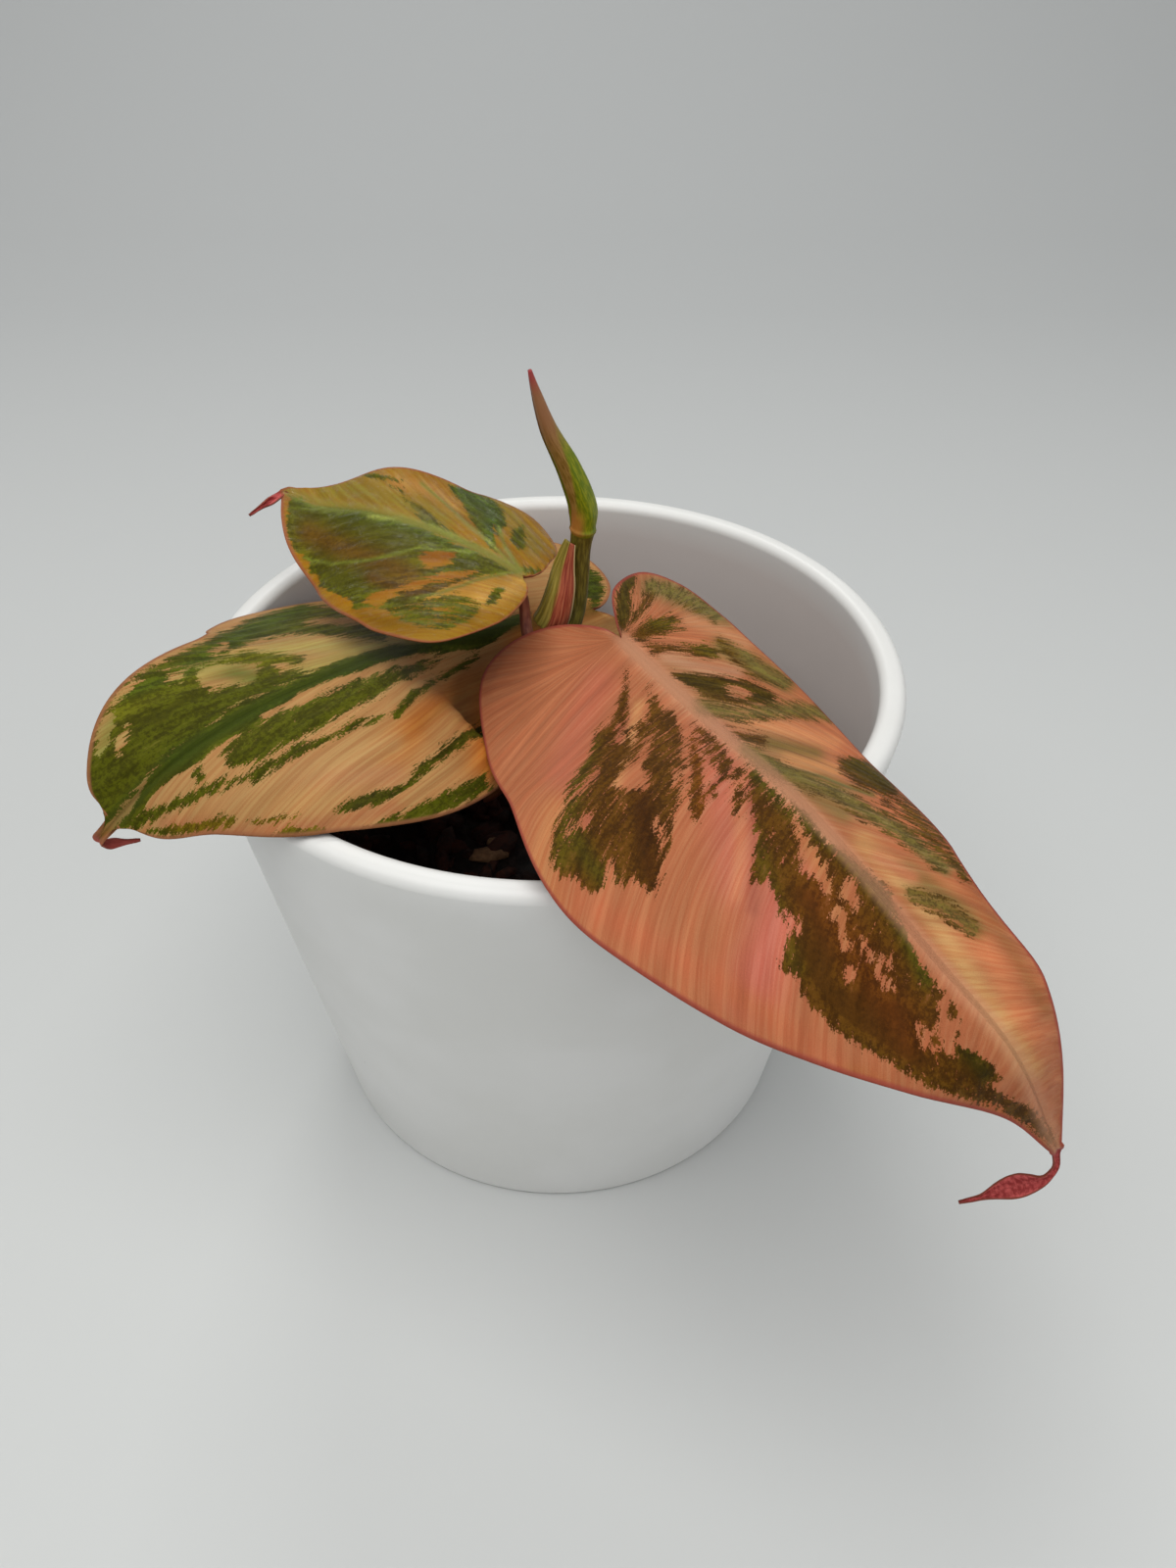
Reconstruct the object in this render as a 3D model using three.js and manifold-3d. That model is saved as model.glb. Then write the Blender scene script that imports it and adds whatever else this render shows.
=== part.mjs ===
// Young variegated micans philodendron in a white cover pot.
// Millimetres, Z up. The origin is the middle of the pot's underside, and the viewer stands on the -Y side.
import * as THREE from "three";
import { mergeVertices } from "three/addons/utils/BufferGeometryUtils.js";
import Module from "manifold-3d";

const wasm = await Module();
wasm.setup();

// Clear gap between two pieces that touch in life.
const GAP = 0.3;

// Pot: a straight cone with a rounded lip and a flat underside.
const POT_HEIGHT = 85.6;
const RIM_RADIUS = 55;
const FOOT_RADIUS = 41.6;
const WALL = 4.1;
const FLOOR = 5;
const LIP_ROUND = 1.7;
const FOOT_ROUND = 1.2;
const INNER_FILLET = 5;
const POT_SEGMENTS = 60;

// Potting mix: dark bark in fine compost, well below the rim.
const MIX_TOP = 55.5;
const MIX_ROUGHNESS = 1.3;
const MIX_RINGS = 7;
const MIX_SEGMENTS = 32;
const CHIP_COUNT = 40;
const CHIP_SEED = 20251;

// Blades are thicker than life, so that they hold as solids.
const BLADE_THICKNESS = 0.8;
const RIB_DEPTH = 1.1;
const BLADE_ROWS = 34;
const BLADE_COLUMNS = [0, 0.07, 0.26, 0.5, 0.75, 1];
// Part of the margin, from the notch, whose veins all fan out of the notch.
const FAN_SHARE = 0.36;

// An open leaf. The spine runs under the midrib from the notch to the tip. Each half has its flat outline,
// as [along the midrib, away from it], then fold and curl at the notch, the middle and the tip:
// fold is the angle at which the half leaves the midrib, curl its bend per mm, both negative downwards.
const FRONT_LEAF = {
  spine: [
    [10.5, -3.7, 90.5],
    [21.4, -25.9, 92.5],
    [30.1, -47.4, 96.9],
    [37.5, -61.2, 95.8],
    [44.7, -69.9, 90.8],
    [52, -77.7, 85.5],
    [61, -78.8, 68],
  ],
  twist: [-23.6, -11.5, -15.6, -31.3],
  lobeLift: 0.0061,
  left: {
    outline: [
      [0, 0],
      [-4.7, 0.8],
      [-10.6, 6],
      [-12.4, 13.4],
      [-9.1, 20.4],
      [8.7, 27.6],
      [28.3, 30.4],
      [48.8, 31.6],
      [68.4, 23.7],
      [85.8, 12.1],
      [98.7, 4.1],
      [108.5, 1],
    ],
    fold: [8, 9, 2, -3, -8.3],
    curl: [-0.0026, -0.0026, -0.0054, -0.007, -0.0087],
  },
  right: {
    outline: [
      [0, 0],
      [-5.7, 1.9],
      [-13.9, 6.4],
      [-16.3, 13.1],
      [-11.4, 17.2],
      [8.7, 18.4],
      [28.3, 22],
      [48.8, 21.4],
      [68.4, 17],
      [85.8, 11.6],
      [98.7, 5.9],
      [108.5, 1],
    ],
    fold: [-19.9, -32.2, -23.2],
    curl: [-0.0124, -0.0073, -0.012],
  },
  petiole: [
    [1.6, -15, 62],
    [5.5, -12, 71],
    [8.5, -6.5, 82],
  ],
  petioleRadius: 1.7,
  tail: [
    [62.1, -77.5, 64.5],
    [62.3, -77.8, 62.5],
    [61.5, -77.9, 60.5],
    [59.6, -77.4, 58.5],
    [56.8, -77.4, 57],
    [54.6, -77.6, 55.8],
    [52, -77.8, 55],
  ],
  tailWidth: 3.1,
};

const LEFT_LEAF = {
  spine: [
    [6, 22.4, 79.7],
    [-8.5, 12.3, 82.6],
    [-22.1, -0.3, 87.4],
    [-31.8, -19.2, 94.2],
    [-41.3, -29.8, 95],
    [-50.2, -37.6, 92.2],
    [-58.5, -43.1, 85.5],
  ],
  twist: [20.6, 3.8, 4, 25.6],
  lobeLift: 0.0005,
  left: {
    outline: [
      [0, 0],
      [-3, 0.6],
      [-7.2, 4.9],
      [-8.5, 13.3],
      [-6, 23],
      [7.6, 29.3],
      [24.7, 29],
      [42.9, 28.5],
      [60, 23.7],
      [75.8, 17.2],
      [85.6, 12.9],
      [91.6, 8.6],
      [94.8, 5],
      [95.2, 1],
    ],
    fold: [-6.7, -11.3, 9.2],
    curl: [-0.014, -0.0045, -0.0139],
  },
  right: {
    outline: [
      [0, 0],
      [-3.6, 1.6],
      [-8.6, 5.7],
      [-10.1, 12.6],
      [-7.1, 20.3],
      [7.6, 25.5],
      [24.7, 27],
      [42.9, 27.8],
      [60, 27.8],
      [76, 20.2],
      [87, 11],
      [93, 6.2],
      [95.2, 1],
    ],
    fold: [-31, -43, -3, 0, -5.4],
    curl: [-0.008, -0.0168, -0.0125, -0.019, -0.0255],
  },
  petiole: [
    [2, -16.5, 61],
    [4.5, -5, 63.5],
    [7, 9, 67.5],
    [8, 20, 73.5],
  ],
  petioleRadius: 1.6,
  tail: [
    [-59.2, -42.8, 84.2],
    [-58.1, -42.3, 83.4],
    [-56.2, -41.9, 83.2],
    [-54.2, -41.7, 83.4],
  ],
  tailWidth: 2.6,
};

const SMALL_LEAF = {
  spine: [
    [-4.8, 2.6, 97.7],
    [-10.3, 4.9, 100.3],
    [-16.3, 7.6, 101.9],
    [-22.6, 10.4, 103],
    [-29.5, 14.1, 103],
    [-37.3, 19.5, 100.9],
    [-44.4, 24.2, 101.2],
  ],
  twist: [0, 6.2, 22.7, -1.5],
  lobeLift: 0.0013,
  left: {
    outline: [
      [0, 0],
      [-1, 1.4],
      [-1.8, 3.9],
      [-1.7, 7.7],
      [-1.1, 12.5],
      [3.7, 16.7],
      [12.1, 16.6],
      [20.9, 14.7],
      [29.2, 10.8],
      [36.6, 6.8],
      [42.2, 3],
      [46.4, 0.8],
    ],
    fold: [-3.8, -7.7, 14.4],
    curl: [-0.0087, -0.0091, -0.0046],
  },
  right: {
    outline: [
      [0, 0],
      [-1, 0.8],
      [-2.4, 3],
      [-2.9, 8],
      [-2, 13.8],
      [3.7, 22.6],
      [12.1, 22.3],
      [20.9, 19.5],
      [29.2, 15.7],
      [36.6, 10.8],
      [42.2, 5.6],
      [46.4, 0.8],
    ],
    fold: [11.3, -1.1, -6.8],
    curl: [-0.0189, -0.0179, -0.0169],
  },
  petiole: [
    [0.4, -3, 80.8],
    [-2.9, 1.4, 82],
    [-4.4, 5.4, 86],
    [-5, 6.4, 92],
  ],
  petioleRadius: 1.05,
  tail: [
    [-45.4, 22.3, 100.9],
    [-47.4, 21.2, 100.2],
    [-49.8, 19.8, 99],
  ],
  tailWidth: 2.2,
};

// Short stem, buried below the mix and leaning back above it.
const STEM_PATH = [
  [2, -17, 32],
  [2, -17, 52],
  [1.8, -15.5, 63],
  [1.2, -11.5, 73],
  [0.5, -4, 80.4],
  [1, 4, 83],
];
const STEM_RADIUS = 2.8;
const STEM_JOINTS = [0.5, 0.66, 0.82];

// New leaf, still rolled, on its own stalk. The radii are given at even steps from the foot to the tip.
const NEW_LEAF_PATH = [
  [2.4, 6.8, 85],
  [3.5, 8.5, 89],
  [3.9, 9.5, 93.5],
  [4.1, 10.2, 98.3],
  [4.6, 10.4, 102.3],
  [4.6, 10.3, 105.4],
  [2.5, 9.5, 112.3],
  [-0.4, 8.5, 119],
  [-2.3, 7.6, 125.6],
  [-2.9, 7.2, 128.4],
];
const NEW_LEAF_RADII = [1.5, 1.55, 1.6, 1.7, 2.15, 2, 1.7, 1.3, 0.85, 0.35];
const STALK_SHARE = 0.37;
const ROLL_LIP = 0.5;

// Sheath that the new leaf came out of.
const SHEATH_PATH = [
  [-0.8, 6.9, 86.6],
  [0.2, 7, 88.6],
  [1.3, 7.6, 91.8],
  [2.4, 9, 95.4],
  [4, 9.9, 99.6],
];
const SHEATH_RADIUS = 2.7;
const SHEATH_THICKNESS = 0.7;
// Way that the closed side of the sheath faces, from the front towards the left, in degrees.
const SHEATH_FACING = 50;

// Points and curves.
const vec = (p) => new THREE.Vector3(p[0], p[1], p[2] ?? 0);
const curveOf = (points) => new THREE.CatmullRomCurve3(points.map(vec), false, "centripetal");
const lerp = (a, b, s) => a + (b - a) * s;
const radians = THREE.MathUtils.degToRad;

// Value at u, 0 to 1, of a quantity given at evenly spaced stations.
function atStation(values, u) {
  const x = Math.min(Math.max(u, 0), 1) * (values.length - 1);
  const i = Math.min(Math.floor(x), values.length - 2);
  const s = x - i;
  return lerp(values[i], values[i + 1], s * s * (3 - 2 * s));
}

// Seeded draw of even numbers from 0 to 1.
function seeded(seed) {
  let state = seed;
  return () => {
    state = (Math.imul(state, 1664525) + 1013904223) >>> 0;
    return state / 4294967296;
  };
}

// Frames along a curve: the normal starts at up and is carried along without turning.
function framesOf(curve, count, up) {
  const points = curve.getSpacedPoints(count);
  const frames = [];
  let normal = up.clone();
  for (let i = 0; i <= count; i += 1) {
    const before = points[Math.max(i - 1, 0)];
    const after = points[Math.min(i + 1, count)];
    const along = after.clone().sub(before).normalize();
    normal = normal.clone().addScaledVector(along, -normal.dot(along)).normalize();
    const side = normal.clone().cross(along);
    frames.push({ point: points[i], along, normal, side });
  }
  return frames;
}

// Solid of a closed triangle mesh.
function solidOf(geometry) {
  const plain = geometry.clone();
  plain.deleteAttribute("normal");
  plain.deleteAttribute("uv");
  const merged = mergeVertices(plain, 1e-4);
  const source = merged.index.array;
  const triVerts = [];
  for (let i = 0; i < source.length; i += 3) {
    const [a, b, c] = [source[i], source[i + 1], source[i + 2]];
    if (a !== b && b !== c && c !== a) triVerts.push(a, b, c);
  }
  return new wasm.Manifold(
    new wasm.Mesh({
      numProp: 3,
      vertProperties: merged.attributes.position.array,
      triVerts: new Uint32Array(triVerts),
    }),
  );
}

// Solid of a closed list of triangles, turned so that it faces out.
function closedSolid(vertices, triangles) {
  const geometry = new THREE.BufferGeometry();
  geometry.setAttribute("position", new THREE.Float32BufferAttribute(vertices.flatMap((v) => v.toArray()), 3));
  geometry.setIndex(triangles);
  const made = solidOf(geometry);
  if (made.volume() >= 0) return made;
  const turned = triangles.slice();
  for (let i = 0; i < turned.length; i += 3) [turned[i + 1], turned[i + 2]] = [turned[i + 2], turned[i + 1]];
  geometry.setIndex(turned);
  return solidOf(geometry);
}

// Solid swept along a curve. section(u, angle) gives [sideways, normal] from the curve's middle.
function sweep(points, rings, sides, section, up = new THREE.Vector3(0, 0, 1)) {
  const frames = framesOf(curveOf(points), rings, up);
  const vertices = [];
  const triangles = [];
  frames.forEach((frame, i) => {
    for (let j = 0; j < sides; j += 1) {
      const [x, y] = section(i / rings, (2 * Math.PI * j) / sides);
      vertices.push(frame.point.clone().addScaledVector(frame.side, x).addScaledVector(frame.normal, y));
    }
  });
  for (let i = 0; i < rings; i += 1) {
    for (let j = 0; j < sides; j += 1) {
      const next = (j + 1) % sides;
      const [a, b] = [i * sides + j, i * sides + next];
      triangles.push(a, a + sides, b, b, a + sides, b + sides);
    }
  }
  const [first, last] = [vertices.length, vertices.length + 1];
  vertices.push(frames[0].point.clone(), frames[rings].point.clone());
  for (let j = 0; j < sides; j += 1) {
    const next = (j + 1) % sides;
    triangles.push(first, j, next);
    triangles.push(last, rings * sides + next, rings * sides + j);
  }
  return closedSolid(vertices, triangles);
}

const roundSection = (radiusAt) => (u, angle) => [radiusAt(u) * Math.cos(angle), radiusAt(u) * Math.sin(angle)];

// Mid-surface of one half of a leaf: rows run from the notch round the margin to the tip, columns outwards.
function halfSurface(leaf, half, sign, frames, length) {
  const margin = curveOf(half.outline).getSpacedPoints(BLADE_ROWS);
  return margin.map((edge, row) => {
    const start = length * veinStart(row / BLADE_ROWS);
    const bend = [lerp(start, edge.x, 0.38), 0.62 * edge.y];
    return BLADE_COLUMNS.map((w) => {
      const [p, q, r] = [(1 - w) ** 2, 2 * w * (1 - w), w * w];
      const a = p * start + q * bend[0] + r * edge.x;
      const b = q * bend[1] + r * edge.y;
      return bladePoint(leaf, half, sign, frames, length, a, b);
    });
  });
}

// Place in space of a point a along the midrib and b away from it.
function bladePoint(leaf, half, sign, frames, length, a, b) {
  const u = Math.min(Math.max(a / length, 0), 1);
  const at = u * (frames.length - 1);
  const i = Math.min(Math.floor(at), frames.length - 2);
  const mix = (key) => frames[i][key].clone().lerp(frames[i + 1][key], at - i);
  const turn = radians(atStation(leaf.twist, u));
  const [normal0, side0] = [mix("normal").normalize(), mix("side").normalize()];
  const normal = normal0.clone().multiplyScalar(Math.cos(turn)).addScaledVector(side0, Math.sin(turn));
  const side = side0.clone().multiplyScalar(Math.cos(turn)).addScaledVector(normal0, -Math.sin(turn));
  const fold = radians(atStation(half.fold, u));
  const curl = atStation(half.curl, u);
  const across = (Math.sin(fold + curl * b) - Math.sin(fold)) / curl;
  const rise = (Math.cos(fold) - Math.cos(fold + curl * b)) / curl;
  const back = Math.min(a, 0);
  return {
    normal,
    point: mix("point")
      .addScaledVector(mix("along").normalize(), back)
      .addScaledVector(side, sign * across)
      .addScaledVector(normal, rise + leaf.lobeLift * back * back),
  };
}

// Part of the midrib passed by the vein that ends at a share of the margin.
const veinStart = (share) => Math.max((share - FAN_SHARE) / (1 - FAN_SHARE), 0) ** 1.2;

// Depth of the rib under the midrib, from nothing at the notch to a quarter at the tip.
function ribDepth(share) {
  const u = veinStart(share);
  return RIB_DEPTH * Math.min(8 * u, 1) * (1 - 0.75 * u);
}

// Blade of a leaf: both faces of both halves, a rib under the midrib and the edge all round.
function blade(leaf) {
  const curve = curveOf(leaf.spine);
  const length = curve.getLength();
  const frames = framesOf(curve, 80, new THREE.Vector3(0, 0, 1));
  const vertices = [];
  const triangles = [];
  const quad = (a, b, c, d, flip) => {
    triangles.push(...(flip ? [a, c, b, a, d, c] : [a, b, c, a, c, d]));
  };
  for (const sign of [-1, 1]) {
    const half = sign < 0 ? leaf.left : leaf.right;
    const grid = halfSurface(leaf, half, sign, frames, length);
    const rows = grid.length;
    const columns = BLADE_COLUMNS.length;
    const first = vertices.length;
    grid.forEach((line, row) => {
      line.forEach((cell, column) => {
        let normal = cell.normal.clone();
        if (column > 0 && row > 0) {
          const down = grid[Math.min(row + 1, rows - 1)][column].point.clone().sub(grid[row - 1][column].point);
          const out = line[Math.min(column + 1, columns - 1)].point.clone().sub(line[column - 1].point);
          normal = out.cross(down).multiplyScalar(-sign).normalize();
          if (normal.dot(cell.normal) < 0) normal.negate();
        }
        const rib = column > 0 ? 0 : ribDepth(row / (rows - 1));
        vertices.push(cell.point.clone().addScaledVector(normal, BLADE_THICKNESS / 2));
        vertices.push(cell.point.clone().addScaledVector(normal, -BLADE_THICKNESS / 2 - rib));
      });
    });
    const at = (row, column, under) => first + 2 * (row * columns + column) + under;
    for (let row = 0; row < rows - 1; row += 1) {
      for (let column = 0; column < columns - 1; column += 1) {
        for (const under of [0, 1]) {
          quad(
            at(row, column, under),
            at(row + 1, column, under),
            at(row + 1, column + 1, under),
            at(row, column + 1, under),
            sign > 0 === (under === 0),
          );
        }
      }
      const edge = columns - 1;
      quad(at(row, edge, 0), at(row + 1, edge, 0), at(row + 1, edge, 1), at(row, edge, 1), sign > 0);
    }
    for (let column = 0; column < columns - 1; column += 1) {
      const end = rows - 1;
      quad(at(end, column, 0), at(end, column, 1), at(end, column + 1, 1), at(end, column + 1, 0), sign > 0);
    }
  }
  return { made: closedSolid(vertices, triangles), frames };
}

// Leaf: blade, the stalk that carries it and the curled tail at its tip, grown as one piece.
function leafSolid(leaf) {
  const { made, frames } = blade(leaf);
  const under = (index, depth) => frames[index].point.clone().addScaledVector(frames[index].normal, -depth).toArray();
  const stalkPath = [...leaf.petiole, under(2, 1.3), under(6, 0.6)];
  const stalk = sweep(stalkPath, 16, 10, roundSection((u) => leaf.petioleRadius * (1 - 0.45 * u * u)));
  const tailPath = [frames[76].point.toArray(), frames[80].point.toArray(), ...leaf.tail];
  const tail = sweep(tailPath, 14, 8, (u, angle) => {
    const width = lerp(leaf.tailWidth, 0.7, u ** 0.8) / 2;
    const height = Math.max(0.55 * width, 0.35);
    return [width * Math.cos(angle), height * Math.sin(angle)];
  });
  return made.add(stalk).add(tail);
}

// Pot turned from its half profile.
function potSolid() {
  const slope = (RIM_RADIUS - FOOT_RADIUS) / POT_HEIGHT;
  const outer = (z) => FOOT_RADIUS + slope * z;
  const inner = (z) => outer(z) - WALL;
  const profile = [
    [0, 0],
    [FOOT_RADIUS - FOOT_ROUND, 0],
    [outer(0.25) - 0.3, 0.35],
    [outer(FOOT_ROUND), FOOT_ROUND],
    [outer(30), 30],
    [outer(58), 58],
  ];
  const arc = (radius, z, from, to, count, round) => {
    for (let i = 0; i <= count; i += 1) {
      const angle = radians(lerp(from, to, i / count));
      profile.push([radius + round * Math.cos(angle), z + round * Math.sin(angle)]);
    }
  };
  const lip = POT_HEIGHT - LIP_ROUND;
  arc(outer(lip) - LIP_ROUND, lip, 0, 90, 5, LIP_ROUND);
  arc(inner(lip) + LIP_ROUND, lip, 90, 180, 5, LIP_ROUND);
  profile.push([inner(58), 58], [inner(30), 30]);
  arc(inner(FLOOR + INNER_FILLET) - INNER_FILLET, FLOOR + INNER_FILLET, 0, -90, 4, INNER_FILLET);
  profile.push([0, FLOOR]);
  const points = profile.map(([x, y]) => new THREE.Vector2(x, y));
  const turned = new THREE.LatheGeometry(points, POT_SEGMENTS);
  turned.rotateX(Math.PI / 2);
  const made = solidOf(turned);
  return { made, inner };
}

// Potting mix: a bed that fills the pot to its level, with bark chips half sunk in its top.
function mixSolid(inner) {
  const random = seeded(CHIP_SEED);
  const vertices = [];
  const triangles = [];
  const height = (x, y) =>
    MIX_TOP + MIX_ROUGHNESS * (Math.sin(0.23 * x + 1.1) * Math.cos(0.19 * y) + 0.5 * Math.sin(0.51 * x - 0.43 * y));
  const wall = inner(MIX_TOP) - GAP - 0.4;
  const floor = FLOOR + GAP;
  vertices.push(new THREE.Vector3(0, 0, height(0, 0)), new THREE.Vector3(0, 0, floor));
  for (let ring = 1; ring <= MIX_RINGS; ring += 1) {
    for (let j = 0; j < MIX_SEGMENTS; j += 1) {
      const angle = (2 * Math.PI * j) / MIX_SEGMENTS;
      const radius = (wall * ring) / MIX_RINGS;
      const [x, y] = [radius * Math.cos(angle), radius * Math.sin(angle)];
      vertices.push(new THREE.Vector3(x, y, height(x, y)));
    }
  }
  const foot = inner(FLOOR + INNER_FILLET) - INNER_FILLET;
  const levels = [
    [inner(FLOOR + INNER_FILLET) - GAP - 0.3, FLOOR + INNER_FILLET],
    [foot, floor],
  ];
  for (const [radius, z] of levels) {
    for (let j = 0; j < MIX_SEGMENTS; j += 1) {
      const angle = (2 * Math.PI * j) / MIX_SEGMENTS;
      vertices.push(new THREE.Vector3(radius * Math.cos(angle), radius * Math.sin(angle), z));
    }
  }
  const at = (ring, j) => 2 + (ring - 1) * MIX_SEGMENTS + (j % MIX_SEGMENTS);
  for (let j = 0; j < MIX_SEGMENTS; j += 1) {
    triangles.push(0, at(1, j), at(1, j + 1));
    for (let ring = 1; ring < MIX_RINGS + levels.length; ring += 1) {
      triangles.push(at(ring, j), at(ring + 1, j), at(ring + 1, j + 1));
      triangles.push(at(ring, j), at(ring + 1, j + 1), at(ring, j + 1));
    }
    triangles.push(1, at(MIX_RINGS + levels.length, j + 1), at(MIX_RINGS + levels.length, j));
  }
  let made = closedSolid(vertices, triangles);
  for (let i = 0; i < CHIP_COUNT; i += 1) {
    const radius = (wall - 7) * Math.sqrt(random());
    const angle = 2 * Math.PI * random();
    const size = [lerp(5, 11, random()), lerp(3, 5.5, random()), lerp(2, 3.6, random())];
    const turn = new THREE.Euler(lerp(-0.5, 0.5, random()), lerp(-0.4, 0.4, random()), Math.PI * random());
    const chip = new THREE.BoxGeometry(...size);
    const corners = chip.attributes.position;
    for (let k = 0; k < corners.count; k += 1) {
      const end = corners.getX(k) > 0 ? 0.72 : 1;
      corners.setXYZ(k, corners.getX(k), corners.getY(k) * end, corners.getZ(k) * end);
    }
    const place = new THREE.Matrix4().makeRotationFromEuler(turn);
    const [x, y] = [radius * Math.cos(angle), radius * Math.sin(angle)];
    place.setPosition(x, y, height(x, y) + lerp(0, 0.9, random()));
    made = made.add(solidOf(chip.applyMatrix4(place)));
  }
  return made;
}

// Stem with a swelling at each joint. extra widens it, for the hole that it stands in.
function stemSolid(extra) {
  const [x, y, z] = STEM_PATH[0];
  return sweep([[x, y, z - extra], ...STEM_PATH.slice(1)], 24, 12, (u, angle) => {
    const swelling = STEM_JOINTS.reduce((sum, joint) => sum + 0.45 * Math.exp(-(((u - joint) / 0.02) ** 2)), 0);
    const radius = STEM_RADIUS * (1 - 0.22 * u) + swelling + extra;
    return [radius * Math.cos(angle), radius * Math.sin(angle)];
  });
}

// Rolled leaf: a scroll whose outer edge makes a lip down one side, on a round stalk.
function newLeafSolid() {
  const section = (u, angle) => {
    const rolled = Math.min(Math.max((u - STALK_SHARE) * 12, 0), 1) * Math.min((1 - u) * 3, 1);
    const radius = atStation(NEW_LEAF_RADII, u) + ROLL_LIP * rolled * (angle / (2 * Math.PI) - 0.5);
    return [radius * Math.cos(angle), radius * Math.sin(angle)];
  };
  return sweep(NEW_LEAF_PATH, 28, 12, section, new THREE.Vector3(0, -1, 0));
}

// Sheath: a thin sheet wrapped round the stalk, its free edges drawing together to a point.
function sheathSolid() {
  const rows = 12;
  const columns = 10;
  const frames = framesOf(curveOf(SHEATH_PATH), rows, new THREE.Vector3(0, -1, 0));
  const vertices = [];
  const triangles = [];
  frames.forEach((frame, i) => {
    const u = i / rows;
    const spread = lerp(112, 30, u ** 1.5);
    const radius = SHEATH_RADIUS * (1 - 0.12 * u);
    for (let j = 0; j <= columns; j += 1) {
      const angle = radians(lerp(-spread, spread, j / columns) + SHEATH_FACING);
      for (const r of [radius + SHEATH_THICKNESS / 2, radius - SHEATH_THICKNESS / 2]) {
        vertices.push(
          frame.point
            .clone()
            .addScaledVector(frame.side, r * Math.sin(angle))
            .addScaledVector(frame.normal, r * Math.cos(angle)),
        );
      }
    }
  });
  const at = (i, j, inside) => 2 * (i * (columns + 1) + j) + inside;
  const quad = (a, b, c, d) => triangles.push(a, b, c, a, c, d);
  for (let i = 0; i < rows; i += 1) {
    for (let j = 0; j < columns; j += 1) {
      quad(at(i, j, 0), at(i + 1, j, 0), at(i + 1, j + 1, 0), at(i, j + 1, 0));
      quad(at(i, j, 1), at(i, j + 1, 1), at(i + 1, j + 1, 1), at(i + 1, j, 1));
    }
    quad(at(i, 0, 0), at(i, 0, 1), at(i + 1, 0, 1), at(i + 1, 0, 0));
    quad(at(i, columns, 0), at(i + 1, columns, 0), at(i + 1, columns, 1), at(i, columns, 1));
  }
  for (let j = 0; j < columns; j += 1) {
    quad(at(0, j, 0), at(0, j + 1, 0), at(0, j + 1, 1), at(0, j, 1));
    quad(at(rows, j, 0), at(rows, j, 1), at(rows, j + 1, 1), at(rows, j + 1, 0));
  }
  return closedSolid(vertices, triangles);
}

// Mesh of a solid.
function named(name, solid, color, roughness) {
  const source = solid.getMesh();
  const positions = [];
  for (let i = 0; i < source.numVert; i += 1) {
    const at = i * source.numProp;
    positions.push(...source.vertProperties.subarray(at, at + 3));
  }
  const geometry = new THREE.BufferGeometry();
  geometry.setAttribute("position", new THREE.Float32BufferAttribute(positions, 3));
  geometry.setIndex([...source.triVerts]);
  geometry.computeVertexNormals();
  const material = new THREE.MeshStandardMaterial({ color, roughness, metalness: 0 });
  const mesh = new THREE.Mesh(geometry, material);
  mesh.name = name;
  return mesh;
}

const pot = potSolid();
const group = new THREE.Group();
group.add(
  named("pot", pot.made, 0xf2f2f0, 0.35),
  named("potting_mix", mixSolid(pot.inner).subtract(stemSolid(GAP)), 0x2a1b14, 0.95),
  named("stem", stemSolid(0), 0x7a5a34, 0.6),
  named("front_leaf", leafSolid(FRONT_LEAF).subtract(stemSolid(GAP)), 0xcf8268, 0.5),
  named("left_leaf", leafSolid(LEFT_LEAF).subtract(stemSolid(GAP)), 0x7c8a45, 0.5),
  named("small_leaf", leafSolid(SMALL_LEAF).subtract(stemSolid(GAP)), 0xa08a32, 0.4),
  named("new_leaf", newLeafSolid(), 0x8a7d3a, 0.5),
  named("leaf_sheath", sheathSolid(), 0xc0685f, 0.5),
);

export default group;
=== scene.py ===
import math

import bpy
import numpy as np
from mathutils import Matrix, Vector


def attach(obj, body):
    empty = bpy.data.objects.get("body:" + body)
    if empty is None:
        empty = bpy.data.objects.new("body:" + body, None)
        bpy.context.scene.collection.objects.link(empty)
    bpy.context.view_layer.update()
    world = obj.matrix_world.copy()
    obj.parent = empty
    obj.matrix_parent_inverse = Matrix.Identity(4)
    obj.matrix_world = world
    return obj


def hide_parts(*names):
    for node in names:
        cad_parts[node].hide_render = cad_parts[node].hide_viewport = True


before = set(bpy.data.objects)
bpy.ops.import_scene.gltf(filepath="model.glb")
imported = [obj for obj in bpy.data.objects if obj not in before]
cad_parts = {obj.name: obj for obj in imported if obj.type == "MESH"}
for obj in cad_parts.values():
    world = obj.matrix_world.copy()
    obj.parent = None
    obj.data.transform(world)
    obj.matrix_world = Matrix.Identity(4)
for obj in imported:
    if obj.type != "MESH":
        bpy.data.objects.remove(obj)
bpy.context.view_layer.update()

# Young variegated micans philodendron in a white cover pot, seen from the front and above.
# Sizes are in millimetres until a mesh is made. The origin is the middle of the pot's underside.
MM = 0.001
SEED = 20251
UPWARDS = (0.0, 0.0, 1.0)
FORWARDS = (0.0, -1.0, 0.0)

# Camera: place in mm, pitch below level and roll in degrees, focal length in pixels of the photograph.
CAMERA_PLACE = np.array([5.4, -167.9, 197.1])
CAMERA_PITCH = 39.47
CAMERA_ROLL = 0.10
FOCAL_PIXELS = 1300.0
PHOTO_SIZE = (1200, 1600)
SENSOR = 36.0
# Size of a pixel of the photograph at the plant, in mm.
PIXEL = 0.147

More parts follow.
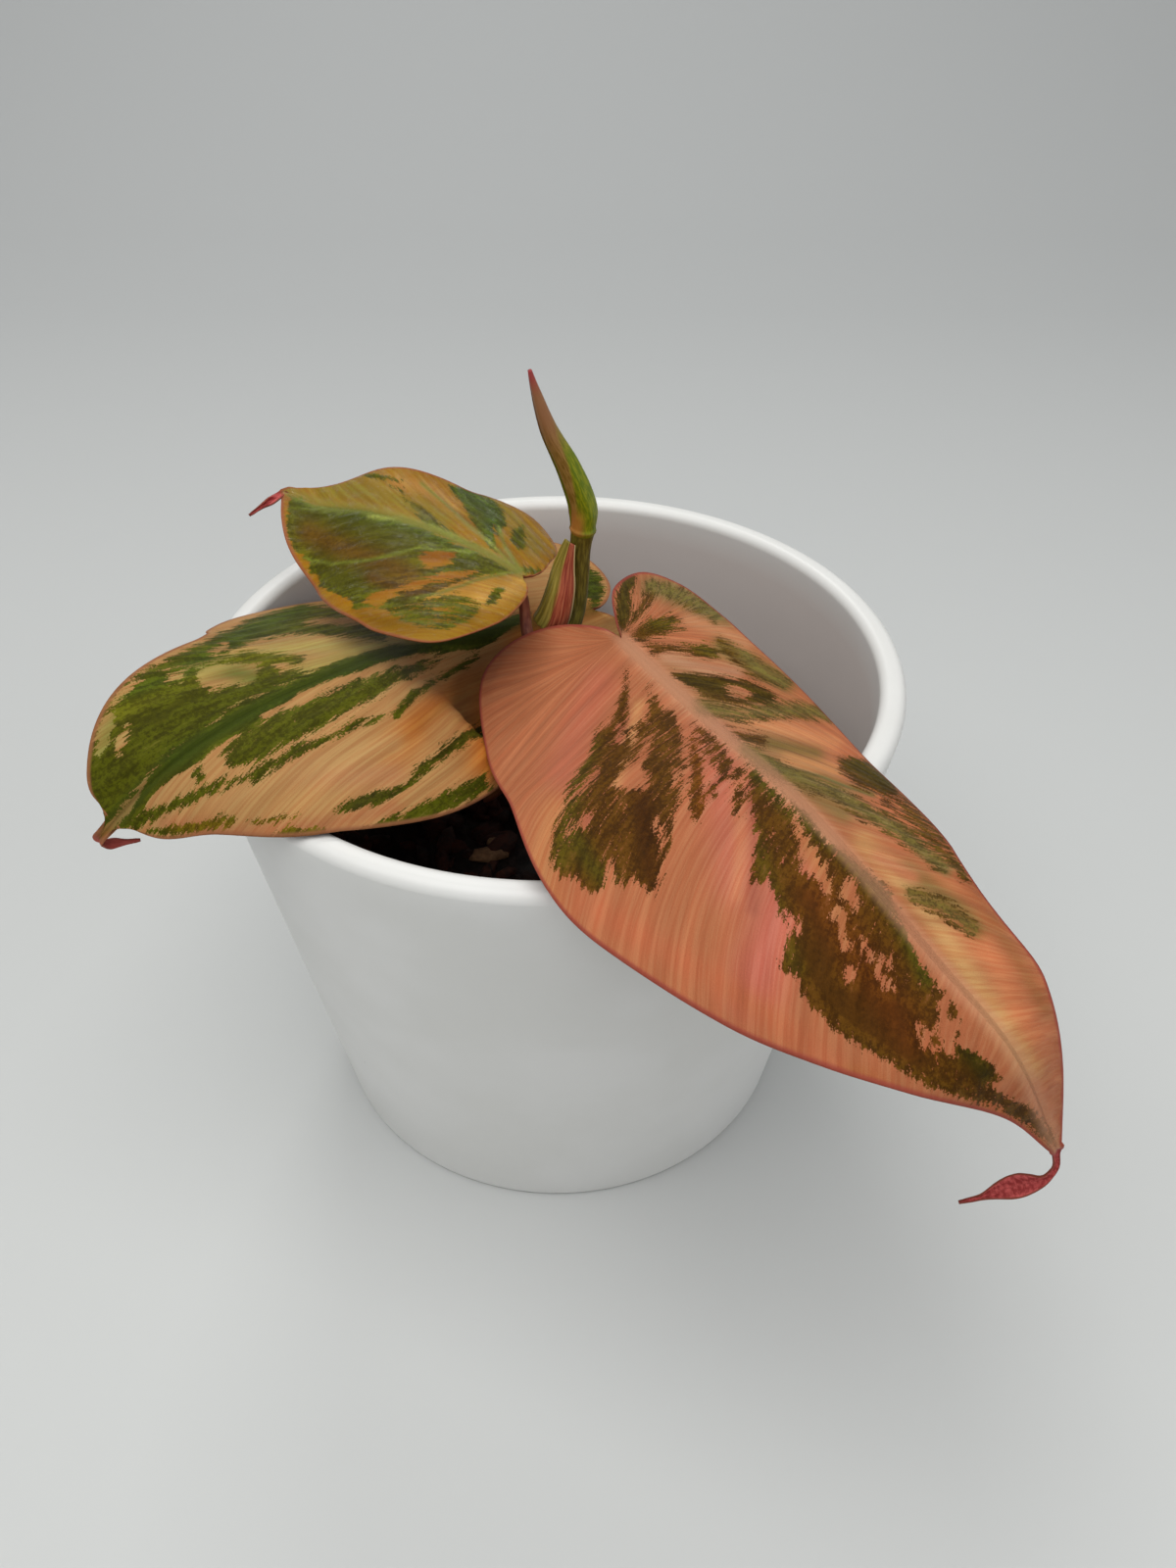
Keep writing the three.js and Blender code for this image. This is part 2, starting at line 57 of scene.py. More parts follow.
# Lights: place, target and size in metres, watts and colour. Then the pale world.
LIGHTS = {
    "key": ((-0.12, -0.22, 0.85), (0, 0, 0.06), (0.8, 0.8), 5.9, (1.0, 0.99, 0.97)),
    "fill": ((0.7, -0.2, 0.4), (0, 0, 0.05), (0.5, 0.5), 0.7, (1.0, 1.0, 1.0)),
    "window": ((-0.12, 0.6, 0.72), (-0.02, 0, 0.1), (0.24, 0.1), 1.3, (1.0, 1.0, 0.98)),
}
WORLD_COLOUR = (0.98, 0.99, 1.0, 1.0)
WORLD_STRENGTH = 0.4
# Floor and backdrop: the floor runs back into a curved wall.
FLOOR_HALF = 1400.0
FLOOR_BACK = 900.0
SWEEP_RADIUS = 500.0
SWEEP_HEIGHT = 1400.0

# Pot. The flats are the even middles of its underside and of the floor inside.
POT_HEIGHT = 85.6
RIM_RADIUS = 55.0
FOOT_RADIUS = 41.6
FLAT_RADIUS = 20.0
WALL = 4.1
FLOOR = 5.0
LIP_ROUND = 1.7
FOOT_ROUND = 1.2
INNER_FILLET = 5.0
POT_SEGMENTS = 192
# Rings of the straight wall keep this far from the foot and the rim, and inside they end at this height.
RING_MARGIN = 6
INSIDE_FROM = 16

# Potting mix. Below the top, its sides are given as height and gap to the wall of the pot.
MIX_TOP = 55.5
MIX_GAP = 0.7
MIX_SIDES = ((20.0, 1.2), (FLOOR + INNER_FILLET, 1.5))
MIX_FOOT = 33.0
MIX_BOTTOM = FLOOR + 0.6
MIX_EDGE_DROP = 1.2
MIX_RINGS = 90
MIX_SEGMENTS = 180
# Bark chips: number, sides, and the height and width of each layer as shares of half the size.
CHIP_COUNT = 520
CHIP_SIDES = 7
CHIP_LAYERS = ((-0.8, 0.8), (0.1, 1.0), (0.95, 0.72))
# Length of a chip: the least, and up to this much more, seldom much. Width and height are shares of it.
CHIP_LENGTH = (2.2, 7.5)
CHIP_SELDOM = 2.2
CHIP_WIDTH = (0.35, 0.65)
CHIP_HEIGHT = (0.18, 0.4)
# How far from level they lie, in radians, how deep in the mix, and how far from the wall they stay in mm.
CHIP_TILT = 0.35
CHIP_ROLL = 0.3
CHIP_SUNK = 0.35
CHIP_MARGIN = 3

# Blades. Thinner than the solids, on the same middle surface.
BLADE_THICKNESS = 0.55
EDGE_THICKNESS = 0.2
EDGE_FROM = 0.86
TIP_THINNING = 0.35
GROOVE_DEPTH = 0.22
GROOVE_WIDTH = 0.55
RIB_DEPTH = 1.1
RIB_WIDTH = 0.75
# Relief: quilting between the veins, slow swells, and the share of both that shows below.
QUILT_HEIGHT = 0.09
SWELL_HEIGHT = 0.1
VEINS_BELOW = 0.6
# Veins: the share of the margin that they fan out to from the notch, and how they leave and bend.
FAN_SHARE = 0.36
VEIN_POWER = 1.2
VEIN_BEND = (0.38, 0.62)
VEIN_BOW = 0.004
BLADE_ROWS = 230
BLADE_COLUMNS = 44
COLUMN_POWER = 0.9
SPINE_STEPS = 80
# Keeps the noise on the two halves of a blade apart.
HALF_SHIFT = 40.0

# Drip tips: shares of the full width, span in which they turn, and half angle of the trough in degrees.
TAIL_START = 0.62
TAIL_SWELL = 0.33
TAIL_POINT = 0.08
TAIL_TURN_SPAN = (0.26, 0.6)
TAIL_HOLLOW = (15, 40)
TAIL_ROWS = 40

# Paint strokes cover this share of what is under them.
STROKE_STRENGTH = 0.9
# Marks with a cap above this many mm have a sharper edge, the more so the higher the cap.
SOLID_FROM = 1.5
# Depth where no mark is near.
UNMARKED = -9.0

# Younger patches inside the green: the mark's colour times this.
FRESH_TINT = (1.65, 1.8, 1.5, 1.0)
# Tint of the shine on the velvety blades.
WARM_SHINE = (1.0, 0.82, 0.5, 1.0)
# The ground between dark veins is a little redder: its colour times this.
ROSE_GROUND = (255, 236, 232)
# Drip tip: its two tones and its edge.
DRIP_TONES = ((150, 58, 58), (196, 92, 90))
DRIP_EDGE = (128, 66, 52)
# Blades: tones of rib, edge and underside, range of roughness, strength of other parts such as painted
# shade.
FRONT_LOOK = {
    "rib": (192, 140, 108), "edge": (150, 66, 58), "below": (120, 50, 44),
    "gloss": (0.42, 0.56), "groove_shade": 0.12,
}
LEFT_LOOK = {
    "rib": (58, 72, 20), "edge": (150, 96, 66), "below": (120, 56, 46),
    "gloss": (0.4, 0.54), "fleck": 0.85,
}
SMALL_LOOK = {
    "rib": (132, 134, 62), "edge": (150, 84, 60), "below": (110, 64, 46),
    "gloss": (0.2, 0.34), "specular": 0.12, "fleck": 0.6, "groove_shade": 0.0, "mist": 0.12, "wet": True,
}

# The end of each stalk: steps along the midrib, and how far below it the middle of the stalk runs.
STALK_ENDS = ((2, 1.75), (6, 1.3))
# Share of the length over which a stalk or the stem rounds off.
ROUND_END = 0.02

FRONT_LEAF = {
    "spine": [
        [10.5, -3.7, 90.5], [21.4, -25.9, 92.5], [30.1, -47.4, 96.9], [37.5, -61.2, 95.8],
        [44.7, -69.9, 90.8], [52, -77.7, 85.5], [61, -78.8, 68],
    ],
    "twist": [-23.6, -11.5, -15.6, -31.3],
    "lobe_lift": 0.0061,
    "left": {
        "outline": [
            [0, 0], [-4.7, 0.8], [-10.6, 6], [-12.4, 13.4], [-9.1, 20.4], [8.7, 27.6], [28.3, 30.4],
            [48.8, 31.6], [68.4, 23.7], [85.8, 12.1], [98.7, 4.1], [108.5, 1],
        ],
        "fold": [8, 9, 2, -3, -8.3],
        "curl": [-0.0026, -0.0026, -0.0054, -0.007, -0.0087],
    },
    "right": {
        "outline": [
            [0, 0], [-5.7, 1.9], [-13.9, 6.4], [-16.3, 13.1], [-11.4, 17.2], [8.7, 18.4], [28.3, 22],
            [48.8, 21.4], [68.4, 17], [85.8, 11.6], [98.7, 5.9], [108.5, 1],
        ],
        "fold": [-19.9, -32.2, -23.2],
        "curl": [-0.0124, -0.0073, -0.012],
    },
    "petiole": [
        [1.6, -15, 62], [5.5, -12, 71], [8.5, -6.5, 82],
    ],
    "petiole_radius": 1.7,
    "tail": [
        [62.1, -77.5, 64.5], [62.3, -77.8, 62.5], [61.5, -77.9, 60.5], [59.6, -77.4, 58.5],
        [56.8, -77.4, 57], [54.6, -77.6, 55.8], [52, -77.8, 55],
    ],
    "tail_width": 3.1,
    "vein_gap": 3.1,
    "vein_angle": None,
    "tail_turn": -75,
    "tail_waist": 0.62,
    "tail_full": 0.62,
}
LEFT_LEAF = {
    "spine": [
        [6, 22.4, 79.7], [-8.5, 12.3, 82.6], [-22.1, -0.3, 87.4], [-31.8, -19.2, 94.2],
        [-41.3, -29.8, 95], [-50.2, -37.6, 92.2], [-58.5, -43.1, 85.5],
    ],
    "twist": [20.6, 3.8, 4, 25.6],
    "lobe_lift": 0.0005,
    "left": {
        "outline": [
            [0, 0], [-3, 0.6], [-7.2, 4.9], [-8.5, 13.3], [-6, 23], [7.6, 29.3], [24.7, 29],
            [42.9, 28.5], [60, 23.7], [75.8, 17.2], [85.6, 12.9], [91.6, 8.6], [94.8, 5], [95.2, 1],
        ],
        "fold": [-6.7, -11.3, 9.2],
        "curl": [-0.014, -0.0045, -0.0139],
    },
    "right": {
        "outline": [
            [0, 0], [-3.6, 1.6], [-8.6, 5.7], [-10.1, 12.6], [-7.1, 20.3], [7.6, 25.5], [24.7, 27],
            [42.9, 27.8], [60, 27.8], [76, 20.2], [87, 11], [93, 6.2], [95.2, 1],
        ],
        "fold": [-31, -43, -3, 0, -5.4],
        "curl": [-0.008, -0.0168, -0.0125, -0.019, -0.0255],
    },
    "petiole": [
        [2, -16.5, 61], [4.5, -5, 63.5], [7, 9, 67.5], [8, 20, 73.5],
    ],
    "petiole_radius": 1.6,
    "tail": [
        [-59.2, -42.8, 84.2], [-58.1, -42.3, 83.4], [-56.2, -41.9, 83.2], [-54.2, -41.7, 83.4],
    ],
    "tail_width": 2.6,
    "vein_gap": 3.1,
    "vein_angle": 9,
    "tail_turn": -75,
    "tail_waist": 0,
    "tail_full": 0.1,
}
SMALL_LEAF = {
    "spine": [
        [-4.8, 2.6, 97.7], [-10.3, 4.9, 100.3], [-16.3, 7.6, 101.9], [-22.6, 10.4, 103],
        [-29.5, 14.1, 103], [-37.3, 19.5, 100.9], [-44.4, 24.2, 101.2],
    ],
    "twist": [0, 6.2, 22.7, -1.5],
    "lobe_lift": 0.0013,
    "left": {
        "outline": [
            [0, 0], [-1, 1.4], [-1.8, 3.9], [-1.7, 7.7], [-1.1, 12.5], [3.7, 16.7], [12.1, 16.6],
            [20.9, 14.7], [29.2, 10.8], [36.6, 6.8], [42.2, 3], [46.4, 0.8],
        ],
        "fold": [-3.8, -7.7, 14.4],
        "curl": [-0.0087, -0.0091, -0.0046],
    },
    "right": {
        "outline": [
            [0, 0], [-1, 0.8], [-2.4, 3], [-2.9, 8], [-2, 13.8], [3.7, 22.6], [12.1, 22.3],
            [20.9, 19.5], [29.2, 15.7], [36.6, 10.8], [42.2, 5.6], [46.4, 0.8],
        ],
        "fold": [11.3, -1.1, -6.8],
        "curl": [-0.0189, -0.0179, -0.0169],
    },
    "petiole": [
        [0.4, -3, 80.8], [-2.9, 1.4, 82], [-4.4, 5.4, 86], [-5, 6.4, 92],
    ],
    "petiole_radius": 1.05,
    "tail": [
        [-45.4, 22.3, 100.9], [-47.4, 21.2, 100.2], [-49.8, 19.8, 99],
    ],
    "tail_width": 2.2,
    "vein_gap": 2.2,
    "vein_angle": 24,
    "tail_turn": 50,
    "tail_waist": 0,
    "tail_full": 0.1,
}

# Short stem, the new leaf on its stalk and the sheath that it came out of.
STEM_PATH = [[2, -17, 32], [2, -17, 52], [1.8, -15.5, 63], [1.2, -11.5, 73], [0.5, -4, 80.4], [1, 4, 83]]
STEM_RADIUS = 2.8
STEM_JOINTS = [0.5, 0.66, 0.82]
JOINT_SWELLING = 0.45
NEW_LEAF_PATH = [
    [2.4, 6.8, 85], [3.5, 8.5, 89], [3.9, 9.5, 93.5], [4.1, 10.2, 98.3], [4.6, 10.4, 102.3],
    [4.6, 10.3, 105.4], [2.5, 9.5, 112.3], [-0.4, 8.5, 119], [-2.3, 7.6, 125.6], [-2.9, 7.2, 128.2],
]
NEW_LEAF_RADII = [1.5, 1.55, 1.6, 1.7, 2.15, 2, 1.7, 1.3, 0.85, 0.3]
STALK_SHARE = 0.37
ROLL_LIP = 0.5
# The sheath's sheet spreads this many degrees to each side at its foot and at its tip.
SHEATH_PATH = [[-0.8, 6.9, 86.6], [0.2, 7, 88.6], [1.3, 7.6, 91.8], [2.4, 9, 95.4], [4, 9.9, 99.6]]
SHEATH_RADIUS = 2.7
SHEATH_THICKNESS = 0.45
SHEATH_FACING = 50
SHEATH_SPREAD = (112, 30)
SHEATH_ROWS = 90
SHEATH_COLUMNS = 60


# Curves and frames.
def curved(points, steps=24):
    """Points along a smooth curve through the given points; uneven steps make no loops in it."""
    points = np.asarray(points, float)
    last = len(points) - 1
    share = np.linspace(0, 1, steps, endpoint=False)[:, None]
    out = []
    for i in range(last):
        here, there = points[i], points[i + 1]
        before = points[i - 1] if i > 0 else 2 * here - there
        after = points[i + 2] if i + 2 <= last else 2 * there - here
        pairs = ((before, here), (here, there), (there, after))
        d0, d1, d2 = [max(np.dot(q - p, q - p) ** 0.25, 1e-4) for p, q in pairs]
        leave = ((here - before) / d0 - (there - before) / (d0 + d1) + (there - here) / d1) * d1
        arrive = ((there - here) / d1 - (after - here) / (d1 + d2) + (after - there) / d2) * d1
        square = -3 * here + 3 * there - 2 * leave - arrive
        cube = 2 * here - 2 * there + leave + arrive
        out.append(here + leave * share + square * share**2 + cube * share**3)
    out.append(points[-1:])
    return np.concatenate(out)


def spaced(points, count):
    """The curve through the points, cut into equal steps, and its length."""
    fine = curved(points)
    run = np.concatenate([[0], np.cumsum(np.linalg.norm(np.diff(fine, axis=0), axis=1))])
    stops = np.linspace(0, run[-1], count + 1)
    return np.stack([np.interp(stops, run, fine[:, k]) for k in range(fine.shape[1])], -1), run[-1]


def unit(vectors):
    return vectors / np.maximum(np.linalg.norm(vectors, axis=-1, keepdims=True), 1e-12)


def frames_along(points, up=UPWARDS):
    """Directions along, normal and sideways at each point; the normal is carried along unturned."""
    first, last = points[1:2] - points[:1], points[-1:] - points[-2:-1]
    along = unit(np.concatenate([first, points[2:] - points[:-2], last]))
    normals = []
    normal = np.array(up, float)
    for direction in along:
        normal = unit(normal - normal @ direction * direction)
        normals.append(normal)
    normals = np.array(normals)
    return along, normals, np.cross(normals, along)


def smooth(low, high, x):
    s = np.clip((x - low) / (high - low), 0, 1)
    return s * s * (3 - 2 * s)


def at_station(values, u):
    """Value at u, 0 to 1, of a quantity given at even stations, with a smooth passage between them."""
    values = np.asarray(values, float)
    x = np.clip(u, 0, 1) * (len(values) - 1)
    i = np.minimum(np.floor(x).astype(int), len(values) - 2)
    s = smooth(0, 1, x - i)
    return values[i] * (1 - s) + values[i + 1] * s


# Meshes.
def mesh_piece(name, vertices, faces, attributes=None):
    """Object from vertices in mm and faces; attributes are per vertex: numbers, vectors or colours."""
    mesh = bpy.data.meshes.new(name)
    mesh.from_pydata((np.asarray(vertices) * MM).tolist(), [], faces)
    for key, values in (attributes or {}).items():
        values = np.asarray(values, np.float32)
        if values.ndim == 1:
            layer = mesh.attributes.new(key, "FLOAT", "POINT")
            layer.data.foreach_set("value", values)
        elif values.shape[1] == 3:
            layer = mesh.attributes.new(key, "FLOAT_VECTOR", "POINT")
            layer.data.foreach_set("vector", values.ravel())
        else:
            layer = mesh.color_attributes.new(key, "FLOAT_COLOR", "POINT")
            layer.data.foreach_set("color", values.ravel())
    mesh.polygons.foreach_set("use_smooth", [True] * len(mesh.polygons))
    mesh.validate()
    mesh.update()
    piece = bpy.data.objects.new(name, mesh)
    bpy.context.scene.collection.objects.link(piece)
    return piece


def clean_faces(faces, place):
    """Faces whose corners are joined by place, without the ones that collapse."""
    kept = []
    for face in faces:
        corners = []
        for corner in face:
            joined = int(place[corner])
            if not corners or corners[-1] != joined:
                corners.append(joined)
        if corners[0] == corners[-1]:
            corners.pop()
        if len(corners) > 2:
            kept.append(corners)
    return kept


def welded(vertices, faces, attributes, reach=1e-3):
    """Vertices that share a place joined to one, with the faces and attributes that this leaves."""
    keys = np.round(np.asarray(vertices) / reach).astype(np.int64)
    _, first, inverse = np.unique(keys, axis=0, return_index=True, return_inverse=True)
    kept = {key: np.asarray(values)[first] for key, values in attributes.items()}
    return np.asarray(vertices)[first], clean_faces(faces, inverse.ravel()), kept


# Photograph: where a point of the object is seen in it, and the marks drawn on it.
def camera_axes():
    pitch, roll = math.radians(CAMERA_PITCH), math.radians(CAMERA_ROLL)
    ahead = np.array([0, math.cos(pitch), -math.sin(pitch)])
    right = np.array([1.0, 0, 0])
    up = np.cross(right, ahead)
    turned_right = math.cos(roll) * right + math.sin(roll) * up
    turned_up = math.cos(roll) * up - math.sin(roll) * right
    return turned_right, turned_up, ahead


def seen_at(points):
    """Pixels of the photograph at which points, in mm, are seen."""
    right, up, ahead = camera_axes()
    offset = np.asarray(points) - CAMERA_PLACE
    depth = offset @ ahead
    x = PHOTO_SIZE[0] / 2 + FOCAL_PIXELS * (offset @ right) / depth
    y = PHOTO_SIZE[1] / 2 - FOCAL_PIXELS * (offset @ up) / depth
    return np.stack([x, y], -1)


def line_distance(pixels, line):
    """Distance from each pixel to an open line."""
    corners = np.asarray(line, float)
    nearest = np.full(len(pixels), np.inf)
    for start, end in zip(corners[:-1], corners[1:]):
        run = end - start
        share = np.clip(((pixels - start) @ run) / (run @ run), 0, 1)
        nearest = np.minimum(nearest, np.linalg.norm(pixels - start - share[:, None] * run, axis=-1))
    return nearest


def depth_inside(pixels, outline):
    """Distance from each pixel to a closed outline, positive inside it."""
    corners = np.asarray(outline, float)
    nearest = line_distance(pixels, np.concatenate([corners, corners[:1]]))
    inside = np.zeros(len(pixels), bool)
    x, y = pixels.T
    for start, end in zip(corners, np.roll(corners, -1, axis=0)):
        run = end - start
        if run[1] != 0:
            crosses = (start[1] > y) != (end[1] > y)
            inside ^= crosses & (x < start[0] + (y - start[1]) * run[0] / run[1])
    return np.where(inside, nearest, -nearest)


def linear(colour):
    """Linear light of an sRGB colour given as 0 to 255."""
    share = np.asarray(colour, float) / 255
    return np.where(share <= 0.04045, share / 12.92, ((share + 0.055) / 1.055) ** 2.4)


def washed(pixels, base, strokes):
    """Colour at each pixel: the base painted over with soft strokes, the broad ones first."""
    colour = np.tile(linear(base), (len(pixels), 1))
    for tone, reach, line in sorted(strokes, key=lambda stroke: -stroke[1]):
        weight = STROKE_STRENGTH * np.exp(-((line_distance(pixels, line) / reach) ** 2))[:, None]
        colour = colour * (1 - weight) + linear(tone) * weight
    return np.concatenate([colour, np.ones((len(pixels), 1))], axis=1)


def marked(pixels, marks, holes):
    """Depth in mm inside the green marks. Each has its outline and the most depth that speckle leaves."""
    depth = np.full(len(pixels), UNMARKED)
    for most, outline in marks:
        slope = PIXEL * max(1.0, most / SOLID_FROM)
        depth = np.maximum(depth, np.minimum(depth_inside(pixels, outline) * slope, most))
    for outline in holes:
        depth = np.minimum(depth, -depth_inside(pixels, outline) * PIXEL)
    return depth



# Leaves.
class Spine:
    """A leaf's midrib: points and directions from the notch to the tip."""

    def __init__(self, leaf):
        self.leaf = leaf
        self.points, self.length = spaced(leaf["spine"], SPINE_STEPS)
        self.along, self.normals, self.sides = frames_along(self.points)

    def at(self, values, u):
        x = np.clip(u, 0, 1) * SPINE_STEPS
        i = np.minimum(np.floor(x).astype(int), SPINE_STEPS - 1)
        share = (x - i)[..., None]
        return values[i] * (1 - share) + values[i + 1] * share

    def turned(self, u):
        """Normal and sideways directions with the leaf's own twist."""
        turn = np.radians(at_station(self.leaf["twist"], u))[..., None]
        normal, side = unit(self.at(self.normals, u)), unit(self.at(self.sides, u))
        return np.cos(turn) * normal + np.sin(turn) * side, np.cos(turn) * side - np.sin(turn) * normal

    def place(self, half, sign, a, b):
        """Place of a point a along the midrib and b away from it."""
        u = np.clip(a / self.length, 0, 1)
        normal, side = self.turned(u)
        fold = np.radians(at_station(half["fold"], u))
        curl = at_station(half["curl"], u)
        across = ((np.sin(fold + curl * b) - np.sin(fold)) / curl)[..., None]
        rise = (np.cos(fold) - np.cos(fold + curl * b)) / curl
        back = np.minimum(a, 0)
        rise = (rise + self.leaf["lobe_lift"] * back**2)[..., None]
        along = unit(self.at(self.along, u)) * back[..., None]
        return self.at(self.points, u) + along + sign * side * across + normal * rise


def vein_start(share):
    """Part of the midrib passed by the vein that ends at a share of the margin."""
    return np.maximum((share - FAN_SHARE) / (1 - FAN_SHARE), 0) ** VEIN_POWER


def half_grid(spine, half, sign, columns):
    """One half of a blade: rows follow the veins from the notch to the tip, columns run outwards."""
    margin, run = spaced(half["outline"], BLADE_ROWS)
    share = np.arange(BLADE_ROWS + 1) / BLADE_ROWS
    start = (spine.length * vein_start(share))[:, None]
    w = columns[None, :]
    ends = margin[:, :1], margin[:, 1:]
    bend = start + VEIN_BEND[0] * (ends[0] - start), VEIN_BEND[1] * ends[1]
    p, q, r = (1 - w) ** 2, 2 * w * (1 - w), w * w
    a = p * start + q * bend[0] + r * ends[0]
    b = q * bend[1] + r * ends[1]
    return spine.place(half, sign, a, b), a, b, np.broadcast_to(share[:, None] * run, a.shape)


def tail_width(leaf, u):
    """Half the width of the drip tip at a share u of its length."""
    waist = smooth(0, 0.2, u) * (1 - smooth(0.36, 0.6, u))
    taper = (TAIL_START + TAIL_SWELL * smooth(0, 0.5, u)) * (1 - leaf["tail_waist"] * waist)
    taper = taper * (1 - 0.85 * smooth(leaf["tail_full"], 0.9, u)) * (1 - 0.6 * smooth(0.9, 1, u))
    return leaf["tail_width"] / 2 * taper + TAIL_POINT


def tail_grid(spine, leaf, columns):
    """Rows of the drip tip past the leaf's end: a trough that turns as it narrows to a point."""
    normal, _ = spine.turned(np.array([1.0]))
    path, run = spaced([spine.points[-1].tolist(), *leaf["tail"]], TAIL_ROWS)
    _, normals, sides = frames_along(path, normal[0])
    u = np.arange(1, TAIL_ROWS + 1) / TAIL_ROWS
    turn = np.radians(leaf["tail_turn"]) * smooth(*TAIL_TURN_SPAN, u)[:, None]
    facing = normals[1:] * np.cos(turn) + sides[1:] * np.sin(turn)
    broad = sides[1:] * np.cos(turn) - normals[1:] * np.sin(turn)
    hollow = np.radians(TAIL_HOLLOW[0] + (TAIL_HOLLOW[1] - TAIL_HOLLOW[0]) * smooth(0, 0.3, u))
    reach = tail_width(leaf, u)[:, None] * columns[None, :]
    bow = hollow[:, None] * columns[None, :]
    across = reach * np.sinc(bow / np.pi)
    rise = reach * np.sin(bow / 2) * smooth(0, 0.25, u)[:, None]
    return path[1:], facing, broad, across, rise, u * run


def blade_grid(spine, leaf):
    """Middle surface of the blade and its drip tip: points, then for each its place along the midrib,
    off it, along the margin, and its column from -1 at the left margin to 1 at the right one."""
    columns = np.linspace(0, 1, BLADE_COLUMNS + 1) ** COLUMN_POWER
    left = half_grid(spine, leaf["left"], -1.0, columns)
    right = half_grid(spine, leaf["right"], 1.0, columns)
    joined = []
    for first, second, flip in zip(left, right, (1, 1, -1, 1)):
        joined.append(np.concatenate([flip * first[:, :0:-1], second], axis=1))
    points, a, b, t = joined
    w = np.concatenate([-columns[:0:-1], columns])

    path, normals, sides, across, rise, run = tail_grid(spine, leaf, columns)
    index = np.abs(np.arange(len(w)) - BLADE_COLUMNS)
    off = np.sign(w) * across[:, index]
    tail = path[:, None] + sides[:, None] * off[..., None] + normals[:, None] * rise[:, index][..., None]
    run = np.broadcast_to(run[:, None], off.shape)
    points = np.concatenate([points, tail])
    a = np.concatenate([a, spine.length + run])
    b = np.concatenate([b, off])
    t = np.concatenate([t, t[-1] + run])
    return points, a, b, t, np.broadcast_to(w, a.shape)


def grid_normals(spine, points, a):
    """Normals of a blade's grid. The midrib's own stand in where the grid comes to a point."""
    normal = np.cross(np.gradient(points, axis=0), np.gradient(points, axis=1))
    reference, _ = spine.turned(np.clip(a / spine.length, 0, 1))
    pointed = np.linalg.norm(normal, axis=-1) < 1e-7
    normal = np.where(pointed[..., None], reference, unit(normal))
    on_blade = np.arange(len(points))[:, None] <= BLADE_ROWS
    wrong = on_blade & (np.sum(normal * reference, -1) < 0)
    normal = np.where(wrong[..., None], -normal, normal)
    normal[0] = reference[0]
    return normal


def sheet_faces(grid, closed):
    """Faces of a sheet from the numbers of its upper skin; the lower skin's follow on from them.
    A sheet that starts at a point is open in its first row."""
    rows, count = grid.shape
    size = grid.size
    faces = []
    for r in range(rows - 1):
        for c in range(count - 1):
            corners = [int(k) for k in (grid[r, c], grid[r, c + 1], grid[r + 1, c + 1], grid[r + 1, c])]
            faces.append(corners)
            faces.append([size + k for k in reversed(corners)])
    border = [*grid[:, 0], *grid[-1, 1:], *grid[-2::-1, -1]]
    if closed:
        border.extend(grid[0, -2::-1])
    for here, there in zip(border[:-1], border[1:]):
        faces.append([int(k) for k in (here, there, size + there, size + here)])
    return faces


def vein_grid(leaf, a, b, t, w):
    """Coordinates in mm across and along the side veins."""
    if leaf["vein_angle"] is None:
        return t, np.abs(w) * np.abs(b).max()
    angle = math.radians(leaf["vein_angle"])
    reach = np.abs(b)
    across = reach * math.cos(angle) - a * math.sin(angle)
    return across + VEIN_BOW * reach**2, a * math.cos(angle) + reach * math.sin(angle)


def relief(t, w, leaf):
    """Quilting between the veins, in mm: low ridges that fade out at the rib and the edge."""
    fade = smooth(0.02, 0.3, np.abs(w)) * (1 - smooth(0.85, 1, np.abs(w)))
    wave = np.sin(t / leaf["vein_gap"] * 2 * math.pi + 0.6 * np.sin(t * 0.21 + 5 * w) + 3 * np.sign(w))
    broad = np.sin(t * 0.13 + 1.3 + 4 * w)
    return (QUILT_HEIGHT * wave + SWELL_HEIGHT * broad) * fade


def blade_piece(name, leaf, spine, wash, green, tint):
    """A leaf's blade with both faces, midrib and drip tip, and with its own marks."""
    points, a, b, t, w = blade_grid(spine, leaf)
    normal = grid_normals(spine, points, a)
    share = np.clip(a / spine.length, 0, 1)
    off = np.abs(b)
    edge = smooth(EDGE_FROM, 1.0, np.abs(w))
    thick = BLADE_THICKNESS * (1 - edge) + EDGE_THICKNESS * edge
    thick = thick * (1 - TIP_THINNING * smooth(0, 1, share))
    groove = GROOVE_DEPTH * np.exp(-((off / GROOVE_WIDTH) ** 2)) * smooth(0, 0.03, share)
    rib_width = RIB_WIDTH * (1 - 0.5 * share)
    rib = RIB_DEPTH * (1 - 0.75 * share) * np.exp(-((off / rib_width) ** 2)) * np.minimum(12 * share, 1)
    rib = rib * (a <= spine.length)
    across_veins, along_veins = vein_grid(leaf, a, b, t, w)
    veins = relief(across_veins, w, leaf)
    top = points + normal * (thick / 2 - groove + veins)[..., None]
    under = points - normal * (thick / 2 + rib - VEINS_BELOW * veins)[..., None]

    half_width = np.maximum(off[:, :1], off[:, -1:])
    pixels = seen_at(points.reshape(-1, 3))
    fields = {
        "vein": np.stack([across_veins, along_veins, np.sign(w) * HALF_SHIFT], -1).reshape(-1, 3),
        "flat": np.stack([a, b, 0 * a], -1).reshape(-1, 3),
        "wash": washed(pixels, *wash),
        "tint": washed(pixels, *tint),
        "green": marked(pixels, *green),
        "off_rib": off.ravel(),
        "from_edge": ((1 - np.abs(w)) * half_width).ravel(),
        "share": (a / spine.length).ravel(),
    }
    both = {key: np.concatenate([values, values]) for key, values in fields.items()}
    both["below"] = np.concatenate([np.zeros(a.size), np.ones(a.size)])
    vertices = np.concatenate([top.reshape(-1, 3), under.reshape(-1, 3)])
    faces = sheet_faces(np.arange(a.size).reshape(a.shape), closed=False)
    return mesh_piece(name, *welded(vertices, faces, both))


